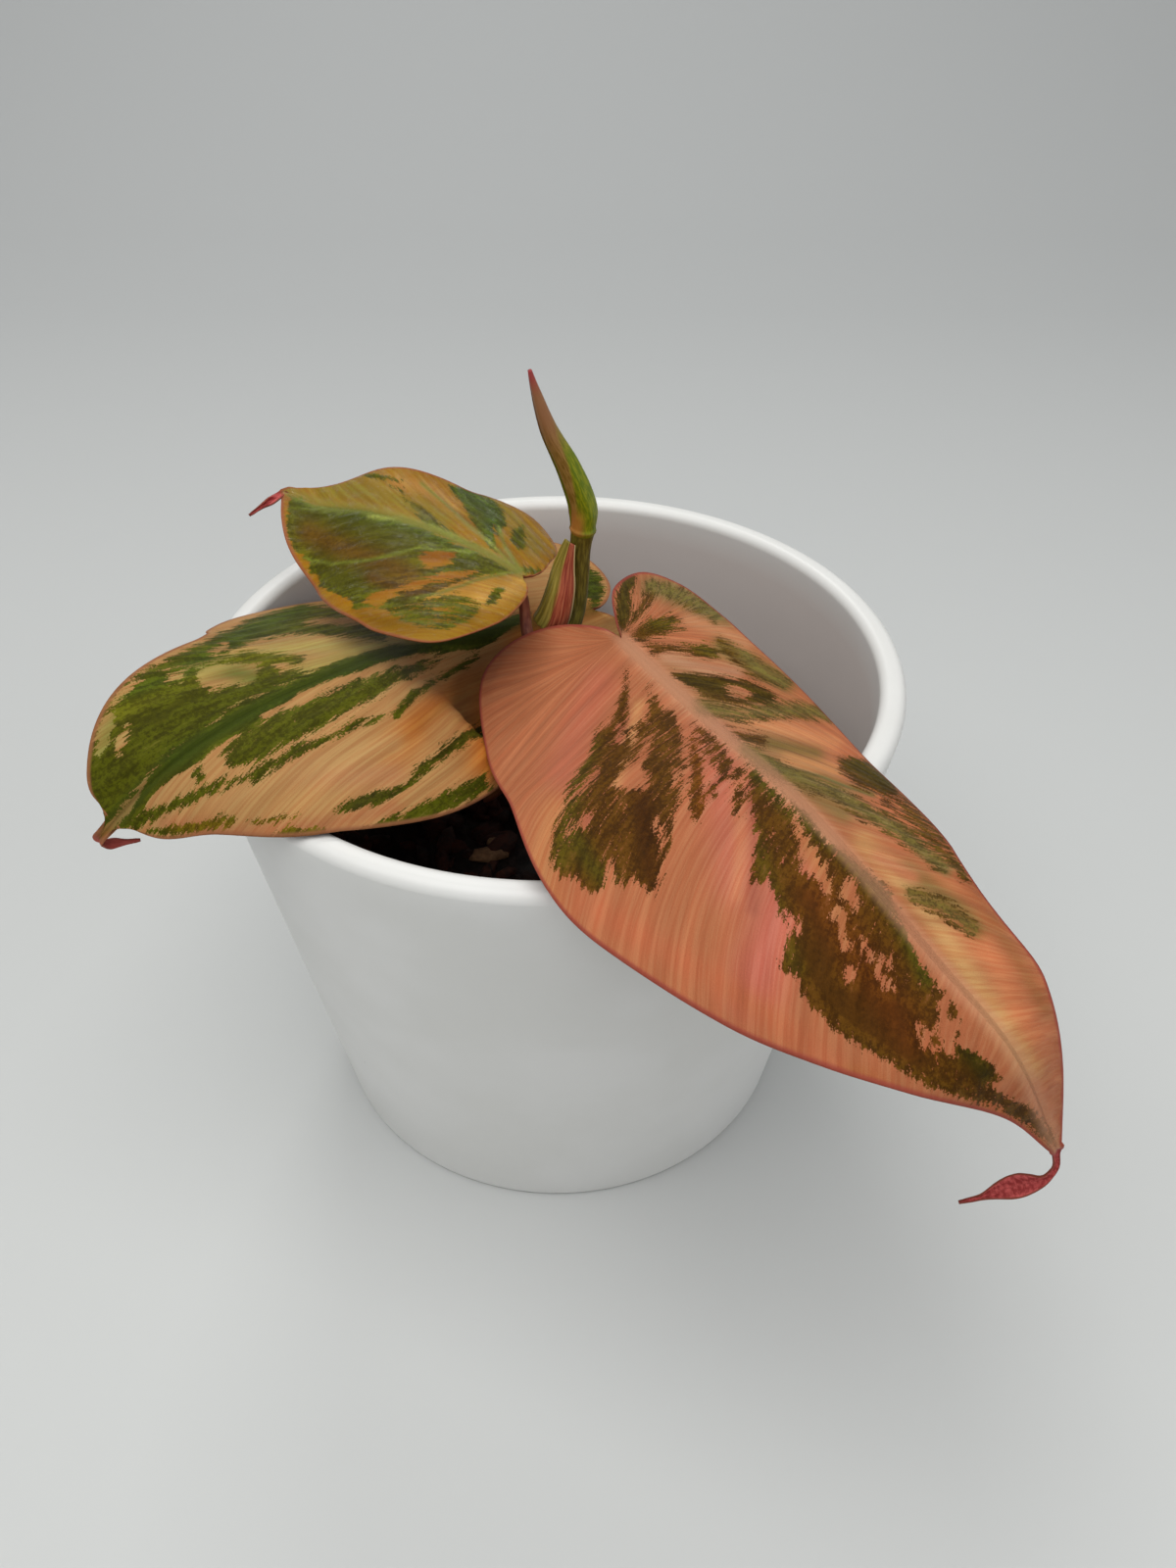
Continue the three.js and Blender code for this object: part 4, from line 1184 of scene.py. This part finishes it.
# Green marks as seen in the photograph: the most depth in mm that the speckle leaves, and the outline.
FRONT_GREEN = [
    # Fan below the notch.
    (0.65, [
        [639, 684], [635, 705], [630, 725], [623, 739], [609, 749], [600, 772], [590, 790],
        [580, 805], [576, 825], [565, 848], [563, 866], [566, 889], [576, 897], [587, 896],
        [603, 913], [616, 908], [618, 882], [627, 901], [636, 908], [646, 896], [668, 915],
        [674, 898], [679, 876], [685, 861], [687, 836], [692, 820], [697, 805], [697, 777],
        [696, 754], [692, 736], [684, 723], [675, 723], [670, 713], [665, 703], [662, 707],
        [663, 723], [660, 740], [650, 739], [643, 750], [640, 734], [642, 711]
    ]),
    # Brown core of the fan.
    (2.2, [
        [639, 805], [669, 804], [671, 841], [672, 866], [676, 889], [668, 914], [656, 904],
        [643, 889], [640, 853], [638, 828]
    ]),
    # Left flank of the fan.
    (1.6, [
        [609, 750], [623, 748], [618, 779], [608, 790], [592, 802], [581, 815], [577, 810],
        [590, 790], [600, 772]
    ]),
    # Lower left of the fan.
    (1.6, [
        [567, 853], [582, 861], [595, 851], [608, 836], [615, 846], [617, 879], [615, 907],
        [603, 913], [587, 896], [567, 889]
    ]),
    # First streak.
    (1.3, [
        [707, 739], [711, 758], [715, 777], [719, 800], [718, 830], [713, 842], [707, 839],
        [704, 815], [706, 790], [703, 764]
    ]),
    # Second streak.
    (0.5, [
        [710, 740], [725, 749], [740, 764], [747, 779], [745, 797], [736, 801], [731, 785],
        [724, 779], [717, 764]
    ]),
    # Spot.
    (0.7, [
        [726, 801], [733, 805], [731, 818], [722, 816]
    ]),
    # Third streak.
    (1, [
        [750, 781], [758, 790], [757, 815], [755, 836], [749, 833], [750, 805]
    ]),
    # Short streak.
    (0.6, [
        [761, 795], [766, 796], [764, 819], [760, 818]
    ]),
    # Far field.
    (0.8, [
        [765, 781], [786, 803], [809, 820], [824, 830], [845, 860], [868, 875], [890, 894],
        [907, 911], [916, 935], [928, 960], [941, 986], [956, 1005], [964, 1016], [956, 1022],
        [958, 1037], [954, 1056], [944, 1052], [974, 1066], [994, 1075], [1012, 1086], [1020, 1100],
        [1009, 1106], [1028, 1120], [1044, 1125], [1054, 1130], [1068, 1148], [1080, 1167],
        [1075, 1170], [1062, 1160], [1046, 1146], [1031, 1139], [1016, 1128], [994, 1123],
        [975, 1118], [955, 1110], [940, 1104], [925, 1096], [911, 1088], [900, 1079], [884, 1073],
        [869, 1063], [852, 1052], [839, 1042], [830, 1032], [821, 1020], [815, 1005], [801, 992],
        [798, 981], [802, 962], [802, 951], [794, 935], [794, 919], [788, 905], [780, 898],
        [774, 905], [766, 902], [770, 885], [772, 860], [771, 839], [765, 810], [762, 795]
    ]),
    # Brown middle of the far field.
    (3, [
        [813, 882], [834, 900], [847, 919], [852, 948], [867, 974], [897, 989], [919, 1015],
        [941, 1041], [956, 1082], [941, 1100], [915, 1082], [889, 1063], [867, 1052], [845, 1030],
        [823, 1004], [815, 978], [808, 941], [802, 919]
    ]),
    # Rib edge of the far field.
    (2.4, [
        [808, 819], [823, 831], [845, 860], [867, 875], [889, 894], [915, 934], [941, 986],
        [956, 1006], [945, 1000], [926, 974], [904, 941], [882, 911], [860, 882], [834, 860],
        [819, 841]
    ]),
    # Dark block.
    (2.5, [
        [974, 1063], [993, 1074], [1013, 1085], [1019, 1099], [1008, 1105], [1004, 1116],
        [985, 1106], [972, 1093], [967, 1074]
    ]),
    # Spot by the far field.
    (0.6, [
        [968, 1023], [976, 1027], [979, 1042], [974, 1044], [966, 1032]
    ]),
    # Small spot below it.
    (0.4, [
        [976, 1054], [982, 1056], [980, 1060], [976, 1060]
    ]),
    # Lobe at the notch.
    (1.8, [
        [634, 585], [647, 582], [649, 596], [644, 611], [646, 626], [640, 644], [630, 649],
        [627, 634], [629, 606]
    ]),
    # Beside the lobe.
    (0.5, [
        [659, 596], [670, 593], [669, 611], [659, 624], [648, 637], [640, 645], [643, 629],
        [654, 616]
    ]),
    # First stripe.
    (0.9, [
        [643, 652], [651, 639], [664, 633], [687, 629], [695, 636], [687, 640], [697, 643],
        [682, 649], [664, 652], [656, 658]
    ]),
    # Second stripe.
    (1.1, [
        [656, 657], [684, 658], [702, 662], [717, 657], [736, 663], [733, 673], [715, 672],
        [694, 666], [679, 666], [666, 672], [661, 665]
    ]),
    # Lens.
    (2, [
        [684, 688], [710, 688], [735, 690], [761, 695], [781, 703], [794, 711], [786, 719],
        [761, 720], [735, 720], [720, 713], [705, 704], [689, 695]
    ]),
    # Thin mark.
    (1, [
        [738, 741], [756, 749], [782, 753], [782, 765], [766, 762], [753, 757]
    ]),
    # Patch at the far edge.
    (1.6, [
        [855, 775], [882, 775], [900, 786], [919, 804], [916, 815], [897, 812], [874, 805],
        [856, 788]
    ]),
    # Olive streak past the lens.
    (0.3, [
        [708, 716], [750, 722], [810, 717], [868, 727], [862, 738], [810, 735], [750, 740],
        [712, 728]
    ]),
    # Olive streak along the far half.
    (0.35, [
        [756, 758], [802, 782], [850, 802], [888, 822], [925, 842], [972, 884], [962, 894],
        [915, 856], [880, 838], [846, 818], [798, 798], [758, 772]
    ]),
    # Olive streak near the tip.
    (0.3, [
        [922, 905], [960, 916], [998, 944], [992, 960], [955, 934], [926, 918]
    ]),
    # Olive streak before the lens.
    (0.3, [
        [732, 650], [772, 672], [808, 696], [800, 706], [765, 690], [734, 664]
    ]),
    # Olive streak on the far lobe.
    (0.3, [
        [662, 592], [702, 604], [740, 626], [730, 638], [698, 620], [664, 606]
    ]),
    # Specks at the far edge.
    (0.35, [
        [897, 810], [926, 815], [956, 845], [974, 874], [991, 900], [980, 899], [956, 872],
        [934, 847], [919, 834], [900, 821]
    ]),
]
FRONT_ISLANDS = [
    [[670, 750], [664, 764], [657, 777], [659, 790], [665, 791], [659, 804], [643, 807], [628, 803],
     [632, 790], [641, 782], [648, 779], [656, 764], [660, 754]],
    [[643, 746], [650, 739], [649, 762], [644, 764]],
    [[631, 739], [636, 744], [635, 760], [629, 756]],
    [[688, 786], [696, 790], [690, 805], [683, 810]],
    [[596, 830], [603, 834], [600, 848], [591, 845]],
    [[586, 837], [588, 841], [581, 853], [578, 851]],
    [[611, 786], [613, 790], [592, 811], [583, 816], [590, 806]],
    [[619, 875], [623, 876], [631, 901], [623, 903], [618, 892]],
    [[670, 839], [678, 853], [676, 866], [671, 856]],
    [[740, 703], [750, 702], [766, 709], [761, 714], [745, 711]],
    [[803, 817], [813, 834], [823, 856], [834, 874], [845, 893], [852, 915], [841, 911], [830, 897],
     [819, 893], [816, 867], [811, 845]],
    [[862, 900], [873, 899], [878, 915], [875, 929], [864, 921], [855, 912]],
    [[850, 921], [862, 930], [863, 952], [869, 969], [863, 971], [856, 952], [848, 934]],
    [[878, 950], [887, 967], [897, 985], [909, 1008], [902, 1011], [891, 985], [882, 971]],
    [[897, 972], [906, 978], [910, 989], [900, 985]],
    [[862, 985], [873, 989], [871, 1000], [860, 998]],
    [[802, 931], [813, 937], [816, 952], [806, 953]],
    [[936, 1043], [948, 1058], [956, 1072], [945, 1069], [937, 1056]],
    [[956, 1045], [974, 1059], [974, 1078], [961, 1074]],
]
LEFT_GREEN = [
    # Band along the midrib.
    (4, [
        [541, 623], [499, 639], [470, 647], [430, 657], [401, 659], [379, 665], [350, 674],
        [327, 683], [299, 697], [270, 709], [241, 721], [219, 738], [190, 757], [170, 774],
        [153, 791], [143, 809], [137, 823], [129, 839], [139, 837], [147, 829], [154, 814],
        [166, 803], [180, 792], [199, 781], [219, 764], [241, 752], [270, 736], [307, 706],
        [333, 696], [356, 690], [384, 679], [413, 671], [441, 666], [490, 663], [521, 642],
        [541, 631]
    ]),
    # Outer band of the far half.
    (1.6, [
        [97, 717], [123, 694], [164, 676], [223, 648], [273, 627], [309, 617], [351, 623],
        [394, 645], [394, 657], [351, 651], [301, 649], [259, 655], [233, 669], [196, 681],
        [169, 685], [153, 683], [124, 700]
    ]),
    # Field of the far end.
    (1.3, [
        [99, 723], [123, 697], [153, 682], [184, 683], [219, 674], [253, 665], [287, 668],
        [313, 672], [306, 680], [279, 679], [287, 687], [321, 684], [299, 698], [270, 711],
        [241, 721], [219, 739], [193, 758], [156, 787], [139, 809], [121, 830], [107, 844],
        [99, 843], [88, 809], [85, 766], [90, 740]
    ]),
    # Dark middle of the far end.
    (2.5, [
        [131, 740], [139, 727], [156, 723], [176, 709], [196, 703], [207, 714], [184, 729],
        [176, 740], [164, 749], [144, 746]
    ]),
    # Speckled field.
    (0.75, [
        [226, 775], [235, 757], [259, 739], [281, 730], [307, 719], [344, 703], [373, 693],
        [401, 683], [441, 675], [460, 671], [424, 690], [401, 700], [384, 714], [351, 729],
        [321, 747], [293, 760], [273, 774], [241, 785]
    ]),
    # Dark core of the speckled field.
    (1.6, [
        [276, 751], [299, 734], [327, 723], [356, 710], [359, 717], [336, 731], [316, 746],
        [287, 757]
    ]),
    # Sharp streak.
    (2, [
        [398, 731], [403, 722], [421, 706], [444, 692], [470, 677], [490, 665], [485, 676],
        [467, 686], [441, 701], [419, 719], [404, 736]
    ]),
    # Lower streak.
    (1.2, [
        [159, 831], [163, 822], [194, 810], [223, 796], [251, 789], [280, 774], [309, 757],
        [344, 740], [379, 730], [394, 731], [373, 740], [327, 760], [299, 776], [281, 787],
        [259, 799], [236, 804], [216, 811], [184, 826]
    ]),
    # Streak to the tip.
    (1, [
        [116, 846], [127, 836], [137, 831], [164, 823], [187, 822], [170, 831], [144, 844],
        [123, 847]
    ]),
    # Dark patch near the rim.
    (1.8, [
        [341, 830], [356, 816], [383, 808], [413, 801], [428, 797], [407, 810], [390, 819],
        [351, 831]
    ]),
    # Brown patches towards the base.
    (0.6, [
        [416, 799], [424, 783], [444, 771], [450, 760], [470, 749], [493, 736], [497, 751],
        [470, 763], [453, 775], [433, 793]
    ]),
    # Lower edge marks.
    (0.6, [
        [151, 846], [184, 841], [216, 837], [230, 830], [241, 836], [234, 843], [174, 853],
        [155, 852]
    ]),
    # Thin line.
    (0.25, [
        [253, 837], [281, 834], [307, 829], [307, 833], [284, 839], [259, 841]
    ]),
    # Mark over the rim.
    (1, [
        [276, 854], [294, 842], [330, 845], [341, 859], [311, 859]
    ]),
    # Line along the lower edge.
    (0.6, [
        [141, 851], [199, 854], [270, 855], [327, 858], [270, 863], [199, 861], [144, 859]
    ]),
    # Edge towards the stalk.
    (0.8, [
        [343, 859], [373, 844], [413, 829], [450, 811], [493, 790], [501, 806], [450, 831],
        [413, 849], [373, 863]
    ]),
    # Spot.
    (0.6, [
        [195, 785], [206, 781], [209, 794], [201, 799], [196, 794]
    ]),
    # Guessed streaks under the small leaf.
    (1.1, [
        [524, 584], [500, 572], [460, 562], [415, 560], [455, 572], [490, 584], [515, 592]
    ]),
    # Guessed band under the small leaf.
    (1.2, [
        [505, 622], [470, 604], [420, 592], [360, 596], [330, 606], [380, 606], [430, 612],
        [475, 626]
    ]),
    # Guessed mark at the far lobe.
    (1.0, [
        [470, 540], [430, 534], [390, 540], [420, 548], [455, 552]
    ]),
    # Lobe behind the sheath.
    (1.5, [
        [587, 578], [602, 580], [612, 588], [617, 604], [612, 618], [604, 624], [598, 612],
        [592, 598]
    ]),
]
LEFT_ISLANDS = [
    [[311, 637], [327, 633], [351, 631], [380, 636], [351, 639], [327, 639]],
    [[200, 683], [223, 677], [247, 679], [267, 681], [261, 695], [239, 699], [219, 704], [204, 699]],
    [[101, 741], [109, 730], [117, 729], [114, 751], [102, 774], [97, 763]],
    [[131, 696], [143, 694], [127, 709], [116, 721], [110, 723], [119, 709]],
    [[213, 666], [230, 657], [233, 662], [219, 669]],
    [[120, 751], [130, 740], [131, 751], [121, 769], [117, 766]],
    [[173, 689], [190, 685], [184, 694], [170, 697]],
    [[270, 729], [289, 722], [281, 731], [267, 739]],
    [[310, 751], [344, 740], [367, 729], [361, 736], [336, 749], [313, 759]],
    [[219, 806], [241, 799], [230, 806]],
]
SMALL_GREEN = [
    # Main field.
    (2, [
        [299, 506], [319, 516], [348, 518], [376, 521], [403, 529], [429, 538], [452, 550],
        [478, 561], [507, 575], [526, 584], [502, 588], [478, 592], [452, 601], [429, 617],
        [397, 623], [371, 620], [361, 622], [358, 612], [340, 606], [327, 599], [325, 588],
        [316, 586], [316, 572], [303, 563], [295, 552], [292, 538], [294, 518]
    ]),
    # Above the midrib.
    (1.2, [
        [424, 514], [439, 524], [452, 538], [471, 550], [486, 559], [465, 552], [444, 541],
        [429, 531]
    ]),
    # Dark field of the far half.
    (2, [
        [457, 495], [481, 499], [502, 510], [514, 523], [516, 538], [508, 548], [503, 538],
        [505, 559], [509, 565], [499, 561], [488, 542], [478, 527], [472, 514], [460, 502]
    ]),
    # Far spot.
    (1.2, [
        [522, 542], [533, 538], [535, 560], [528, 563], [521, 555]
    ]),
    # Far streak.
    (0.9, [
        [399, 496], [411, 499], [414, 510], [426, 518], [437, 526], [447, 539], [439, 539],
        [428, 529], [420, 518], [410, 508]
    ]),
    # Thin upper mark.
    (0.6, [
        [361, 487], [376, 484], [397, 486], [410, 492], [397, 490], [376, 488]
    ]),
    # Near lobe mark.
    (0.9, [
        [493, 618], [502, 603], [514, 601], [508, 615], [497, 620]
    ]),
    # Lower mark.
    (0.25, [
        [392, 622], [429, 613], [465, 606], [492, 617], [481, 633], [455, 643], [429, 640],
        [408, 633]
    ]),
    # Tip mark.
    (0.5, [
        [295, 507], [308, 507], [316, 516], [303, 512]
    ]),
    # Edge at the lobe.
    (0.7, [
        [528, 583], [539, 580], [557, 583], [559, 589], [544, 588]
    ]),
]
SMALL_ISLANDS = [
    [[429, 568], [447, 564], [465, 565], [461, 576], [439, 582], [431, 578]],
    [[376, 610], [403, 601], [418, 596], [452, 585], [486, 585], [473, 591], [439, 594], [424, 603],
     [410, 604], [387, 620], [371, 616]],
]

# Ground colours, with a painted highlight among them: a base, then strokes of colour, each with its reach
# in pixels of the photograph.
FRONT_WASH = ((171, 108, 73), [
    # Left half: pink lobe, salmon field, brown-pink bands, orange margin.
    ((178, 106, 80), 22, [[612, 700], [592, 742], [575, 790]]),
    ((158, 93, 69), 7, [[640, 735], [618, 790], [600, 840]]),
    ((188, 137, 89), 6, [[652, 720], [640, 770], [628, 800]]),
    ((178, 119, 76), 16, [[566, 830], [552, 880], [560, 930]]),
    ((182, 108, 86), 26, [[735, 745], [742, 830], [752, 900]]),
    ((188, 107, 90), 30, [[800, 905], [785, 960], [770, 1010]]),
    ((157, 88, 70), 6, [[768, 800], [772, 880], [768, 930]]),
    ((186, 120, 86), 7, [[752, 790], [756, 860], [752, 915]]),
    ((178, 106, 72), 16, [[600, 925], [660, 960], [730, 1000], [800, 1050], [870, 1100]]),
    ((166, 103, 60), 14, [[870, 1100], [940, 1140], [1010, 1170], [1060, 1180]]),
    ((171, 98, 60), 12, [[950, 1080], [1000, 1120], [1050, 1160]]),
    # Along the midrib, with a painted highlight on its ridge towards the tip.
    ((188, 136, 102), 9, [[640, 660], [700, 720], [770, 780], [850, 862]]),
    # Painted highlight: a cream line along the ridge of the midrib.
    ((194, 150, 96), 12, [[880, 860], [925, 905], [955, 945], [985, 990], [1015, 1035], [1050, 1090]]),
    ((173, 114, 72), 12, [[820, 850], [850, 905], [868, 960]]),
    # Right half: salmon and olive-tan bands.
    ((100, 100, 51), 3, [[797, 786], [840, 795], [857, 802], [890, 812]]),
    ((124, 114, 67), 6, [[850, 808], [880, 828], [915, 845], [940, 870], [965, 890]]),
    ((115, 94, 45), 7, [[930, 912], [960, 925], [980, 938], [994, 952]]),
    ((191, 128, 90), 8, [[895, 875], [930, 895]]),
    ((153, 100, 62), 8, [[1010, 940], [1040, 985], [1065, 1030]]),
    ((112, 106, 64), 12, [[664, 600], [700, 612], [735, 632]]),
    ((107, 94, 46), 9, [[736, 658], [770, 682], [802, 700]]),
    ((183, 131, 92), 7, [[702, 634], [740, 646], [760, 658]]),
    ((181, 137, 104), 6, [[678, 672], [710, 681], [752, 687]]),
    ((120, 104, 56), 8, [[716, 720], [750, 731], [810, 726], [862, 732]]),
    ((197, 135, 90), 8, [[752, 737], [790, 744], [850, 760]]),
    ((115, 100, 51), 8, [[782, 760], [832, 772]]),
    ((189, 135, 86), 7, [[802, 777], [852, 788]]),
    ((117, 108, 56), 5, [[760, 764], [802, 790], [850, 812]]),
    ((162, 120, 81), 18, [[690, 680], [740, 720], [800, 770], [860, 820]]),
    ((124, 106, 62), 9, [[680, 600], [712, 618], [738, 630]]),
    ((146, 114, 70), 10, [[735, 664], [765, 678], [790, 690]]),
    ((169, 116, 72), 14, [[700, 610], [760, 640], [820, 680]]),
    ((184, 112, 75), 18, [[840, 720], [890, 790], [940, 870], [990, 950]]),
    ((133, 109, 63), 10, [[810, 800], [860, 832]]),
    ((131, 108, 62), 11, [[926, 889], [1000, 944]]),
    ((192, 121, 80), 14, [[960, 900], [1010, 980], [1050, 1060]]),
    ((163, 100, 63), 10, [[820, 700], [900, 770], [960, 850], [1010, 940]]),
])
FRONT_TINT = ((74, 44, 8), [
    ((70, 57, 10), 12, [[600, 760], [580, 830], [572, 880]]),
    ((64, 53, 9), 12, [[585, 850], [600, 880], [620, 900]]),
    ((62, 32, 6), 14, [[655, 810], [662, 860], [668, 900]]),
    ((81, 50, 10), 10, [[660, 720], [680, 760], [690, 800]]),
    ((94, 50, 10), 8, [[706, 750], [716, 800], [716, 835]]),
    ((61, 49, 9), 12, [[640, 590], [635, 630]]),
    ((72, 60, 10), 12, [[665, 635], [690, 640], [730, 668]]),
    ((59, 46, 8), 12, [[700, 695], [750, 704], [790, 716]]),
    ((81, 40, 8), 24, [[835, 915], [880, 985], [930, 1060]]),
    ((59, 54, 9), 9, [[772, 790], [810, 830], [860, 870], [912, 930], [945, 1000]]),
    ((70, 53, 9), 10, [[768, 850], [790, 920], [812, 990]]),
    ((50, 42, 7), 12, [[985, 1070], [1005, 1095]]),
    ((74, 47, 9), 9, [[860, 1060], [940, 1105], [1020, 1130], [1070, 1160]]),
    ((61, 50, 9), 12, [[870, 780], [905, 800]]),
    ((98, 84, 42), 8, [[716, 722], [750, 731], [810, 726], [862, 732]]),
    ((98, 84, 42), 8, [[760, 765], [802, 790], [850, 808], [915, 848], [965, 888]]),
    ((100, 82, 40), 8, [[925, 912], [960, 925], [994, 952]]),
    ((98, 86, 44), 8, [[664, 599], [702, 612], [735, 632], [770, 680], [802, 700]]),
    ((81, 57, 11), 12, [[920, 830], [980, 890]]),
])
LEFT_WASH = ((171, 132, 82), [
    ((180, 120, 60), 14, [[604, 622], [570, 630], [540, 640]]),
    ((196, 114, 34), 24, [[545, 650], [515, 690], [500, 740], [500, 780]]),
    ((176, 110, 46), 18, [[470, 690], [430, 730], [400, 770]]),
    ((174, 135, 85), 18, [[500, 665], [440, 690], [380, 715], [300, 755]]),
    ((175, 138, 88), 14, [[222, 820], [290, 790], [360, 770], [401, 760]]),
    ((171, 125, 84), 16, [[300, 785], [350, 790], [400, 790]]),
    ((151, 138, 70), 10, [[150, 760], [200, 735], [250, 710]]),
    ((98, 106, 44), 12, [[198, 682], [230, 684], [268, 695]]),
    ((131, 128, 62), 12, [[130, 720], [110, 750], [100, 780]]),
    ((158, 146, 77), 10, [[300, 690], [340, 676], [390, 660], [440, 656]]),
    ((167, 154, 85), 8, [[180, 700], [240, 672], [310, 660], [400, 662]]),
    ((164, 112, 73), 10, [[170, 840], [240, 850], [330, 842], [400, 825]]),
    ((151, 86, 47), 12, [[100, 852], [120, 858], [144, 862]]),
])
LEFT_TINT = ((62, 62, 6), [
    ((50, 60, 6), 14, [[540, 640], [440, 660], [350, 690], [260, 730], [180, 775]]),
    ((84, 79, 13), 12, [[300, 625], [350, 640], [390, 655]]),
    ((88, 84, 13), 14, [[110, 730], [160, 700], [220, 680], [290, 672]]),
    ((59, 68, 10), 10, [[120, 710], [180, 690], [260, 640], [310, 622]]),
    ((69, 68, 11), 10, [[220, 770], [290, 735], [370, 705], [440, 680]]),
    ((50, 46, 8), 12, [[360, 820], [400, 800], [430, 770], [480, 740]]),
    ((96, 75, 13), 10, [[180, 840], [240, 845], [330, 838]]),
    ((77, 57, 10), 9, [[600, 625], [560, 635]]),
    ((54, 60, 10), 12, [[600, 590], [606, 612]]),
])
SMALL_VEINS = [
    ((132, 134, 62), 2.5, [[530, 583], [490, 562], [448, 542], [408, 529], [378, 528]]),
    ((128, 130, 60), 2.2, [[530, 583], [500, 556], [476, 536], [455, 515], [430, 494]]),
    ((122, 126, 58), 2.2, [[530, 583], [515, 560], [508, 540]]),
    ((104, 108, 36), 1.8, [[480, 565], [430, 560], [380, 572], [340, 576], [310, 570]]),
    ((112, 112, 44), 2.0, [[530, 584], [490, 592], [455, 604], [420, 612]]),
]
SMALL_WASH = ((146, 108, 28), [
    ((118, 84, 8), 10, [[370, 628], [400, 636], [440, 636], [480, 628]]),
    ((156, 112, 14), 14, [[300, 575], [330, 600], [365, 622]]),
    ((176, 134, 56), 16, [[408, 590], [440, 600], [490, 596]]),
    ((190, 150, 72), 10, [[530, 598], [512, 606], [490, 610]]),
    ((134, 80, 18), 9, [[432, 570], [450, 572], [462, 566]]),
    ((142, 92, 24), 9, [[372, 608], [400, 600], [440, 592], [480, 588]]),
    ((130, 116, 36), 15, [[330, 503], [370, 500], [410, 512], [450, 530]]),
    ((172, 130, 64), 8, [[405, 492], [440, 500], [462, 516]]),
    ((130, 114, 42), 11, [[482, 500], [520, 530], [545, 560]]),
    ((141, 99, 42), 10, [[290, 505], [320, 520], [350, 540]]),
    *SMALL_VEINS,
])
SMALL_TINT = ((74, 72, 10), [
    ((93, 64, 15), 14, [[316, 545], [350, 560], [390, 575], [420, 590]]),
    ((67, 78, 20), 10, [[310, 510], [360, 520], [420, 535], [480, 560]]),
    ((60, 73, 20), 14, [[470, 500], [500, 520], [505, 545]]),
    ((83, 72, 18), 9, [[410, 510], [440, 525]]),
    ((83, 55, 14), 8, [[380, 590], [420, 605], [470, 600]]),
    *SMALL_VEINS,
])


# Scene.
def backdrop():
    profile = [(-FLOOR_HALF, 0.0), (FLOOR_BACK - SWEEP_RADIUS, 0.0)]
    for angle in np.radians(np.linspace(-80, 0, 17)):
        y = FLOOR_BACK - SWEEP_RADIUS + SWEEP_RADIUS * math.cos(angle)
        profile.append((y, SWEEP_RADIUS + SWEEP_RADIUS * math.sin(angle)))
    profile.append((FLOOR_BACK, SWEEP_HEIGHT))
    vertices = [(x, y, z) for y, z in profile for x in (-FLOOR_HALF, FLOOR_HALF)]
    faces = [(2 * i, 2 * i + 1, 2 * i + 3, 2 * i + 2) for i in range(len(profile) - 1)]
    floor = mesh_piece("studio_floor", vertices, faces)
    floor.data.materials.append(paper_look())


def studio():
    """Soft light from above, a weak fill from the right, a small window behind and an even pale world."""
    for name, (place, target, size, watts, colour) in LIGHTS.items():
        data = bpy.data.lights.new(name, "AREA")
        data.shape = "RECTANGLE"
        data.size, data.size_y = size
        data.energy = watts
        data.color = colour
        light = bpy.data.objects.new(name, data)
        light.location = Vector(place)
        light.rotation_euler = (Vector(target) - light.location).to_track_quat("-Z", "Y").to_euler()
        bpy.context.scene.collection.objects.link(light)
    world = bpy.data.worlds.new("pale_room")
    world.use_nodes = True
    background = world.node_tree.nodes["Background"]
    background.inputs["Color"].default_value = WORLD_COLOUR
    background.inputs["Strength"].default_value = WORLD_STRENGTH
    bpy.context.scene.world = world
    bpy.context.scene.view_settings.view_transform = "Standard"


def photo_camera():
    data = bpy.data.cameras.new("photo_camera")
    data.sensor_fit = "VERTICAL"
    data.sensor_height = SENSOR
    data.lens = FOCAL_PIXELS / PHOTO_SIZE[1] * SENSOR
    camera = bpy.data.objects.new("photo_camera", data)
    pitch = Matrix.Rotation(math.radians(90 - CAMERA_PITCH), 4, "X")
    roll = Matrix.Rotation(math.radians(CAMERA_ROLL), 4, "Z")
    camera.matrix_world = Matrix.Translation(Vector(CAMERA_PLACE * MM)) @ (pitch @ roll)
    bpy.context.scene.collection.objects.link(camera)
    bpy.context.scene.camera = camera


def stand_for(piece, node, look):
    """Gives a piece its material and puts it in the place of a CAD node."""
    piece.data.materials.clear()
    piece.data.materials.append(look)
    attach(piece, "root")
    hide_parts(node)


def leaves():
    reds = stalk_look("red_brown_stalk", (122, 62, 50), (158, 96, 72))
    rust = stalk_look("green_brown_stalk", (104, 84, 48), (148, 104, 70))
    rows = (
        ("front", FRONT_LEAF, FRONT_WASH, (FRONT_GREEN, FRONT_ISLANDS), FRONT_TINT, FRONT_LOOK, rust),
        ("left", LEFT_LEAF, LEFT_WASH, (LEFT_GREEN, LEFT_ISLANDS), LEFT_TINT, LEFT_LOOK, rust),
        ("small", SMALL_LEAF, SMALL_WASH, (SMALL_GREEN, SMALL_ISLANDS), SMALL_TINT, SMALL_LOOK, reds),
    )
    for name, leaf, wash, green, tint, look, stalk_skin in rows:
        spine = Spine(leaf)
        node, slot = name + "_leaf", name + "_blade"
        blade = blade_piece(node + "_blade", leaf, spine, wash, green, tint)
        stalk = stalk_piece(node + "_blade_stalk", leaf, spine)
        stand_for(blade, node, leaf_look(name + "_variegation", **look))
        stand_for(stalk, node, stalk_skin)


photo_camera()
studio()
backdrop()
leaves()
stand_for(new_leaf_piece(), "new_leaf", roll_look())
stand_for(sheath_piece(), "leaf_sheath", sheath_look())
stand_for(stem_piece(), "stem", stem_look())
stand_for(pot_piece(), "pot", glaze_look())
stand_for(mix_piece(), "potting_mix", mix_look())
